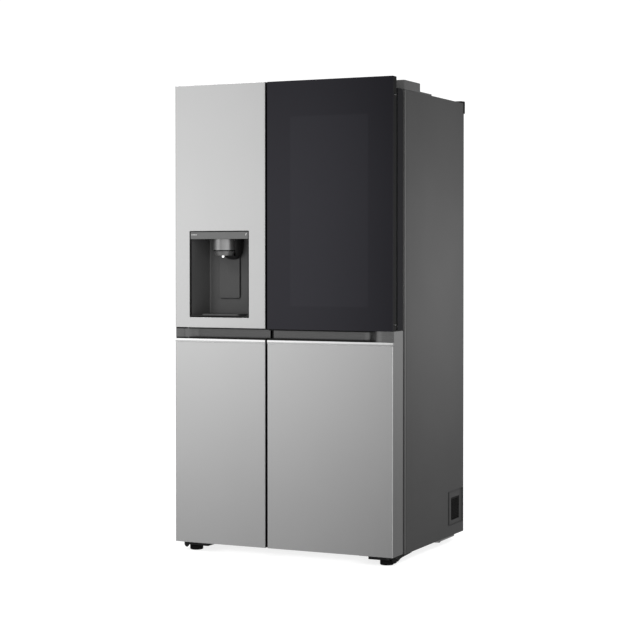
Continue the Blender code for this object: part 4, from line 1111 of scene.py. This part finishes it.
# Under the cabinet
def build_underside():
    refined("chassis", "base_frame", ZINC, "cabinet", 0.0005)
    for name, sign in SIDES:
        refined("door_bracket_" + name, "bottom_hinge_" + name, BLACK_PAINT, "cabinet", 0.0006)
        foot = low_high("levelling_foot_" + name)
        centre = (sum(foot[0]) / 2, sum(foot[1]) / 2, 0)
        build_foot(name, centre)
        front = [(0.4475, 0.0326), (0.4262, 0.0326), (0.4262, 0.018), (0.43, 0.011), (0.436, 0.007),
            (0.443, 0.0095), (0.4475, 0.017)]
        tab = extruded([(sign * a, b) for a, b in front], "Y", depths(0.056, 0.0595))
        cheek = extruded([(depth(0.0575), 0.0326), (depth(0.0575), 0.015), (depth(0.07), 0.015),
            (depth(0.09), 0.0215), (depth(0.115), 0.024), (depth(0.185), 0.027), (depth(0.185), 0.0326)],
            "X", mirrored(sign, 0.444, 0.4475))
        tab = joined([tab, cheek])
        piece("bracket_tab_" + name, softened(tab, 0.0006), BLACK_PAINT, "cabinet")
        bolts = [(sign * 0.335, depth(0.15), 0.0285), (sign * 0.395, depth(0.15), 0.0285)]
        screws("bracket_bolts_" + name, bolts, "cabinet", "-Z", radius=0.006, height=0.003)
        build_roller(name)


def build_foot(name, centre):
    """A levelling foot: a ribbed disc under a screw."""
    radius, top = 0.0255, 0.0165
    rings = []
    ribs = 24
    for level, shrink in ((0.0, 0.0022), (0.0022, 0.0), (top - 0.0016, 0.0), (top, 0.0018)):
        ring = []
        for i in range(ribs * 4):
            dip = 0.0007 if i % 4 in (0, 1) and 0.001 < level < top - 0.001 else 0.0
            angle = math.tau * i / (ribs * 4)
            reach = radius - shrink - dip
            ring.append((centre[0] + reach * math.cos(angle), centre[1] + reach * math.sin(angle), level))
        rings.append(ring)
    screw = [(0, 0.034), (0.005, 0.034)]
    for i in range(11):
        screw += [(0.006, 0.0332 - i * 0.0015), (0.0052, 0.03245 - i * 0.0015)]
    screw += [(0.006, 0.0166), (0.006, 0.015), (0, 0.015)]
    hexagon = [(centre[0] + 0.0095 * math.cos(math.tau * k / 6),
        centre[1] + 0.0095 * math.sin(math.tau * k / 6)) for k in range(6)]
    shapes = [stacked(rings), turned(screw, centre, "Z", 24), extruded(hexagon, "Z", (0.016, 0.018))]
    piece("foot_" + name, joined(shapes), FOOT, name + "_foot", ["levelling_foot_" + name])


def build_roller(name):
    x, y, z = low_high("roller_" + name)
    centre = (sum(x) / 2, sum(y) / 2, sum(z) / 2)
    radius, half = 0.02, 0.013
    profile = [(0, half + 0.005), (0.0036, half + 0.005), (0.004, half + 0.0046), (0.004, half - 0.003),
        (0.014, half - 0.003), (0.0155, half), (0.0188, half), (radius, half - 0.0015), (radius, 0.003),
        (radius - 0.0012, 0.0018), (radius - 0.0012, -0.0018), (radius, -0.003), (radius, 0.0015 - half),
        (0.0188, -half), (0.0155, -half), (0.014, 0.003 - half), (0.004, 0.003 - half),
        (0.004, -half - 0.0046), (0.0036, -half - 0.005), (0, -half - 0.005)]
    wheel = turned(profile, centre, "X", 40)
    spokes = []
    for k in range(5):
        angle = math.tau * k / 5
        hole = rod(0.003, 0.05, -0.05, (centre[0], centre[1] + 0.0092 * math.cos(angle),
            centre[2] + 0.0092 * math.sin(angle)), "X", 16)
        spokes.append(hole)
    piece("wheel_" + name, carved(wheel, cuts=spokes), BLACK, name + "_roller", ["roller_" + name])


# Inside the rooms
FREEZER_ROOM_X = (-0.404, -0.097)
FRIDGE_ROOM_X = (-0.027, 0.404)


def build_liners():
    for room, x in (("freezer", FREEZER_ROOM_X), ("fridge", FRIDGE_ROOM_X)):
        mesh = softened(node_mesh(room + "_liner"), 0.003, 3, 40.0)
        piece(room + "_room", mesh, WHITE, "cabinet", [room + "_liner"])
        lens = block(inset(x, 0.09), depths(0.17, 0.215), (1.6865, 1.6905), "Z", 0.008, edge=0.0015)
        piece(room + "_lamp", lens, LAMP, "cabinet")
    ledges = []
    for node, x in (("freezer_shelf", FREEZER_ROOM_X), ("fridge_shelf_lower", FRIDGE_ROOM_X),
            ("fridge_shelf_upper", FRIDGE_ROOM_X)):
        shelf = low_high(node)
        level = (shelf[2][0] - 0.015, shelf[2][0] - GAP)
        run = (shelf[1][0] + 0.01, shelf[1][1] - 0.004)
        for wall, way in ((x[0], 1), (x[1], -1)):
            ledges.append(block(sorted((wall - way * 0.0006, wall + way * 0.008)), run, level, "Y", 0.003,
                edge=0.0012))
    piece("shelf_ledges", joined(ledges), WHITE, "cabinet")
    panel = low_high("fridge_liner")
    back = (panel[1][1] - 0.01, panel[1][1] - 0.003)
    duct = block((0.1035, 0.2735), back, (1.24, 1.64), "Y", 0.012, edge=0.002)
    slots = [block((0.12 + 0.075 * column, 0.182 + 0.075 * column), (back[0] - CUT, back[0] + 0.004),
        (1.29 + 0.03 * row, 1.297 + 0.03 * row), "Y", 0.0034) for column in range(2) for row in range(11)]
    piece("air_duct_cover", carved(duct, cuts=[joined(slots)]), WHITE, "cabinet")


def build_shelf(name, node):
    """A glass shelf in a moulded rim."""
    x, y, z = low_high(node)
    rim = 0.012
    outer = block(x, y, z, "Z", 0.006, edge=0.0025)
    hole = block(inset(x, rim), (y[0] + 0.02, y[1] - rim), inset(z, -CUT), "Z", 0.008)
    seat = block(inset(x, rim * 0.6), (y[0] + 0.014, y[1] - rim * 0.6), (z[1] - 0.005, z[1] - 0.0009))
    piece(name + "_rim", carved(outer, cuts=[hole, seat]), WHITE, "cabinet", [node])
    glass = block(inset(x, rim * 0.6 + GAP), (y[0] + 0.0143, y[1] - rim * 0.6 - GAP),
        (z[1] - 0.0049, z[1] - 0.001), edge=0.0004)
    piece(name + "_glass", glass, CLEAR, "cabinet")
    strip = block(inset(x, 0.004), (y[0] - 0.001, y[0] + 0.003), inset(z, 0.005), "Y", 0.002, edge=0.0006)
    piece(name + "_strip", strip, ALUMINIUM, "cabinet")


def tapered(x, y, levels):
    """A solid with rounded upright corners, from (level, inset, corner radius) steps."""
    rings = []
    for level, amount, radius in levels:
        left, right = inset(x, amount)
        front, rear = inset(y, amount)
        corners = [(left, front), (right, front), (right, rear), (left, rear)]
        rings.append([(a, b, level) for a, b in filleted(corners, [radius] * 4, 6)])
    return stacked(rings)


def build_bin(name, node, body, front_first, wall=0.0028):
    """A clear tray with tapered sides, a rolled rim and a ribbed floor. Its front is at low Y for a drawer
    and at high Y for a door basket."""
    x, y, z = low_high(node)
    taper = 0.006
    outside = ((z[0], taper, 0.01), (z[0] + 0.004, taper - 0.003, 0.012), (z[1] - 0.006, 0.0024, 0.014),
        (z[1] - 0.0058, 0.0, 0.014), (z[1], 0.0, 0.014))
    inside = ((z[0] + wall, taper + wall, 0.008), (z[0] + wall + 0.004, taper + wall - 0.003, 0.01),
        (z[1] - 0.007, wall + 0.0024, 0.011), (z[1] + CUT, wall + 0.002, 0.011))
    ribs = []
    count = 6
    for i in range(count):
        place = x[0] + (x[1] - x[0]) * (i + 1) / (count + 1)
        ribs.append(block(around(place, 0.0015), inset(y, 0.016),
            (z[0] + wall - 0.001, z[0] + wall + 0.0018)))
    mesh = joined([carved(tapered(x, y, outside), cuts=[tapered(x, y, inside)]), *ribs])
    piece(name + "_tub", mesh, CLEAR, body, [node])
    face = y[0] if front_first else y[1]
    way = -1 if front_first else 1
    grip_y = sorted((face + way * 0.0008, face - way * 0.004))
    width = x[1] - x[0]
    grip = block(inset(x, width * 0.3), grip_y, (z[1] - 0.026, z[1] - 0.01), "Y", 0.005, edge=0.001)
    dent = block(inset(x, width * 0.33), sorted((face + way * 0.01, face - way * 0.0016)),
        (z[1] - 0.022, z[1] - 0.014), "Y", 0.003)
    trim = block(inset(x, 0.016), sorted((face + way * 0.0008, face - way * 0.0012)),
        (z[1] - 0.0048, z[1] - 0.0008), "Y", 0.0014, edge=0.0003)
    shapes = [carved(grip, cuts=[dent]), trim] if front_first else [trim]
    piece(name + "_trim", joined(shapes), ALUMINIUM, body)


def build_ice_maker():
    x, y, z = low_high("ice_maker")
    body = block(x, y, z, "Y", 0.014, edge=0.004)
    seam = carved(block(inset(x, -CUT), (y[0] + 0.034, y[0] + 0.036), inset(z, -CUT)),
        cuts=[block(inset(x, 0.0012), (y[0], y[0] + 0.05), inset(z, 0.0012), "Y", 0.013)])
    pull = block(inset(x, 0.085), (y[0] - CUT, y[0] + 0.014), (z[0] + 0.016, z[0] + 0.046), "Y", 0.01)
    mouth = block(inset(x, 0.1), (y[0] + 0.05, y[0] + 0.13), (z[0] - CUT, z[0] + 0.02), "Z", 0.02)
    flutes = [block(around(side_x, 0.0012), (y[0] + 0.07, y[1] - 0.03),
        (z[0] + 0.05 + 0.03 * row, z[0] + 0.056 + 0.03 * row)) for side_x in x for row in range(6)]
    mesh = carved(body, cuts=[seam, pull, mouth, joined(flutes)])
    piece("ice_maker_case", mesh, WHITE, "cabinet", ["ice_maker"])
    sight = block(inset(x, 0.05), (y[0] - 0.0006, y[0] + 0.002), (z[0] + 0.09, z[1] - 0.06), "Y", 0.008,
        edge=0.0005)
    piece("ice_bin_window", sight, FROSTED, "cabinet")
    button = block((x[1] - 0.06, x[1] - 0.034), (y[0] - 0.0015, y[0] + 0.002),
        (z[1] - 0.042, z[1] - 0.026), "Y", 0.006, edge=0.0008)
    piece("ice_button", button, SEAL, "cabinet")


def build_evaporator():
    x, y, z = low_high("evaporator_cover")
    fan = low_high("evaporator_fan")
    hub = (sum(fan[0]) / 2, y[0], sum(fan[2]) / 2)
    slots = []
    for level in range(5):
        for column in range(3):
            left = x[0] + 0.03 + column * 0.084
            slots.append(block((left, left + 0.072), inset(y, -CUT),
                (1.25 + level * 0.024, 1.259 + level * 0.024), "Y", 0.0044))
    for ring in range(3):
        for k in range(10):
            angle = math.tau * k / 10
            reach = 0.022 + 0.016 * ring
            petal = block((hub[0] + reach - 0.0055, hub[0] + reach + 0.0055), inset(y, -CUT),
                (hub[2] - 0.0032 - 0.0013 * ring, hub[2] + 0.0032 + 0.0013 * ring), "Y", 0.003)
            turn = Matrix.Translation(hub) @ Matrix.Rotation(angle, 4,
                "Y") @ Matrix.Translation(-Vector(hub))
            petal.transform(turn)
            slots.append(petal)
    plate = block(x, y, z, "Y", 0.008, edge=0.001)
    piece("duct_panel", carved(plate, cuts=[joined(slots)]), WHITE, "cabinet", ["evaporator_cover"])
    coil("cold_coil", "evaporator", ALUMINIUM, 44)
    coil("warm_coil", "condenser", BLACK_PAINT, 36)


def coil(name, node, material, limit):
    """Rows of tube through thin fins."""
    x, y, z = low_high(node)
    shapes = []
    pitch = 0.006
    count = min(limit, int((x[1] - x[0] - 0.03) / pitch))
    for i in range(count):
        place = x[0] + 0.015 + (x[1] - x[0] - 0.03) * i / (count - 1)
        shapes.append(block(around(place, 0.0002), (y[0], y[1]), (z[0], z[1])))
    radius = 0.0042
    rows = max(3, int((z[1] - z[0]) / 0.05))
    lanes = [y[0] + (y[1] - y[0]) * share for share in ((0.25, 0.75) if y[1]
        - y[0] < 0.08 else (0.15, 0.38, 0.62, 0.85))]
    for row in range(rows):
        level = z[0] + (z[1] - z[0]) * (row + 0.5) / rows
        for lane in lanes:
            shapes.append(rod(radius, x[1] - 0.006, x[0] + 0.006, (0, lane, level), "X", 12))
        for side_x, way in ((x[0] + 0.006, -1), (x[1] - 0.006, 1)):
            bend = [(side_x + way * (0.0055 * math.sin(math.pi * k / 6)),
                lanes[0] + (lanes[-1] - lanes[0]) * k / 6) for k in range(7)]
            shapes.append(tube([(a, b, level) for a, b in bend], radius * 0.9))
    piece(name, joined(shapes), material, "cabinet", [node])


def tube(path, radius, sides=10):
    """A round tube along a path of points."""
    points = [Vector(place) for place in path]
    rings = []
    normal = None
    for i, point in enumerate(points):
        line = (points[min(i + 1, len(points) - 1)] - points[max(i - 1, 0)]).normalized()
        if normal is None:
            normal = line.orthogonal().normalized()
        normal = (normal - line * normal.dot(line)).normalized()
        side = line.cross(normal)
        rings.append([tuple(point + normal * (radius * math.cos(math.tau * k / sides))
            + side * (radius * math.sin(math.tau * k / sides))) for k in range(sides)])
    return stacked(rings)


def build_fan(name, node, axis, body, blades):
    """An axial fan with twisted, swept blades and a domed hub."""
    spans = low_high(node)
    centre = [sum(span) / 2 for span in spans]
    across = "XYZ".index(axis)
    half = (spans[across][1] - spans[across][0]) / 2
    radius = min((spans[i][1] - spans[i][0]) / 2 for i in range(3) if i != across)
    hub = radius * 0.3
    shapes = [turned([(0, half), (hub * 0.55, half), (hub * 0.9, half * 0.75), (hub, half * 0.4),
        (hub, -half * 0.8), (hub * 0.85, -half), (0, -half)], centre, axis, 40)]
    steps = 8
    for blade in range(blades):
        start = math.tau * blade / blades
        rings = []
        for i in range(steps + 1):
            share = i / steps
            reach = hub * 0.9 + (radius * 0.985 - hub * 0.9) * share
            chord = math.radians(26 + 20 * share) * (1.0 if share < 0.85 else 0.86)
            sweep = start + math.radians(26) * share * share
            pitch = half * (0.78 - 0.3 * share)
            line = []
            for k in range(7):
                along = k / 6 - 0.5
                camber = half * 0.16 * (1 - 4 * along * along)
                line.append((sweep + chord * along, pitch * 2 * along * 0.9 + camber))
            ring = [(reach, angle, high + 0.0009) for angle, high in line]
            ring += [(reach, angle, high - 0.0009) for angle, high in line[::-1]]
            row = []
            for distance, angle, high in ring:
                place = [distance * math.cos(angle), distance * math.sin(angle)]
                place.insert(across, high)
                row.append(tuple(a + b for a, b in zip(place, centre)))
            rings.append(row)
        shapes.append(stacked(rings))
    piece(name, joined(shapes), DARK, body, [node])


def build_compressor():
    x, y, z = low_high("compressor")
    middle = (sum(x) / 2, sum(y) / 2, 0)
    radius = (x[1] - x[0]) / 2
    base = z[0] + 0.012
    seam = base + 0.062
    shell = [(0, z[1]), (radius * 0.35, z[1] - 0.001), (radius * 0.65, z[1] - 0.008),
        (radius * 0.84, z[1] - 0.022), (radius * 0.93, z[1] - 0.044), (radius * 0.95, seam + 0.004),
        (radius * 0.985, seam + 0.002), (radius * 0.985, seam - 0.002), (radius * 0.95, seam - 0.004),
        (radius * 0.94, base + 0.02), (radius * 0.86, base + 0.005), (radius * 0.66, base), (0, base)]
    dome = turned(shell, middle, "Z", 56)
    mounting = block((x[0], x[1]), (y[0], y[1]), (z[0] + 0.006, z[0] + 0.009), "Z", 0.02)
    shapes = [dome, mounting]
    for sx in inset(x, 0.016):
        for sy in inset(y, 0.016):
            shapes.append(turned([(0, z[0] + 0.0145), (0.009, z[0] + 0.0145), (0.0105, z[0] + 0.011),
                (0.008, z[0] + 0.008), (0.0105, z[0] + 0.004), (0.01, z[0]), (0, z[0])], (sx, sy, 0), "Z",
                24))
    box_y = (y[1] - 0.016, y[1])
    shapes.append(block(around(middle[0], 0.026), box_y, around(seam, 0.026), "Y", 0.006, edge=0.002))
    for dx, top in ((-0.03, 0.052), (0.03, 0.036)):
        path = [(middle[0] + dx, y[0] + 0.03 - 0.0015 * k * k * 0.25, seam + 0.002 + top * k / 8)
            for k in range(9)]
        shapes.append(tube(path, 0.0035))
    piece("compressor_shell", joined(shapes), BLACK_PAINT, "cabinet", ["compressor"])


def build_inside():
    build_liners()
    build_shelf("freezer_tier", "freezer_shelf")
    build_shelf("lower_tier", "fridge_shelf_lower")
    build_shelf("upper_tier", "fridge_shelf_upper")
    build_bin("upper_frozen", "freezer_drawer_upper", "upper_freezer_drawer", True)
    build_bin("lower_frozen", "freezer_drawer_lower", "lower_freezer_drawer", True)
    build_bin("upper_fresh", "crisper_upper", "upper_crisper", True)
    build_bin("lower_fresh", "crisper_lower", "lower_crisper", True)
    build_bin("freezer_basket", "freezer_door_basket", "freezer_door", False)
    build_bin("fridge_basket", "fridge_door_basket", "fridge_door", False)
    build_ice_maker()
    build_evaporator()
    build_fan("cold_air_fan", "evaporator_fan", "Y", "cold_fan", 5)
    build_fan("machine_air_fan", "condenser_fan", "X", "machine_fan", 5)
    build_compressor()


build_camera()
build_studio()
build_steel_panels()
build_trims()
build_pockets()
build_dispenser()
build_glass_door()
build_fridge_door()
build_freezer_door()
build_gap_shade_films()
for side_name, side_sign in SIDES:
    build_side(side_name, side_sign)
build_back()
build_top()
build_underside()
build_inside()


def dress_remaining_nodes():
    """Every CAD node still shown takes its slot's material."""
    slot_of = {entry["node"]: entry["material_slot"] for entry in frame["record"]["subparts"]}
    for name, node in frame["nodes"].items():
        if node.hide_render:
            continue
        node.data.materials.clear()
        node.data.materials.append(SLOTS[slot_of[name]][0])


dress_remaining_nodes()
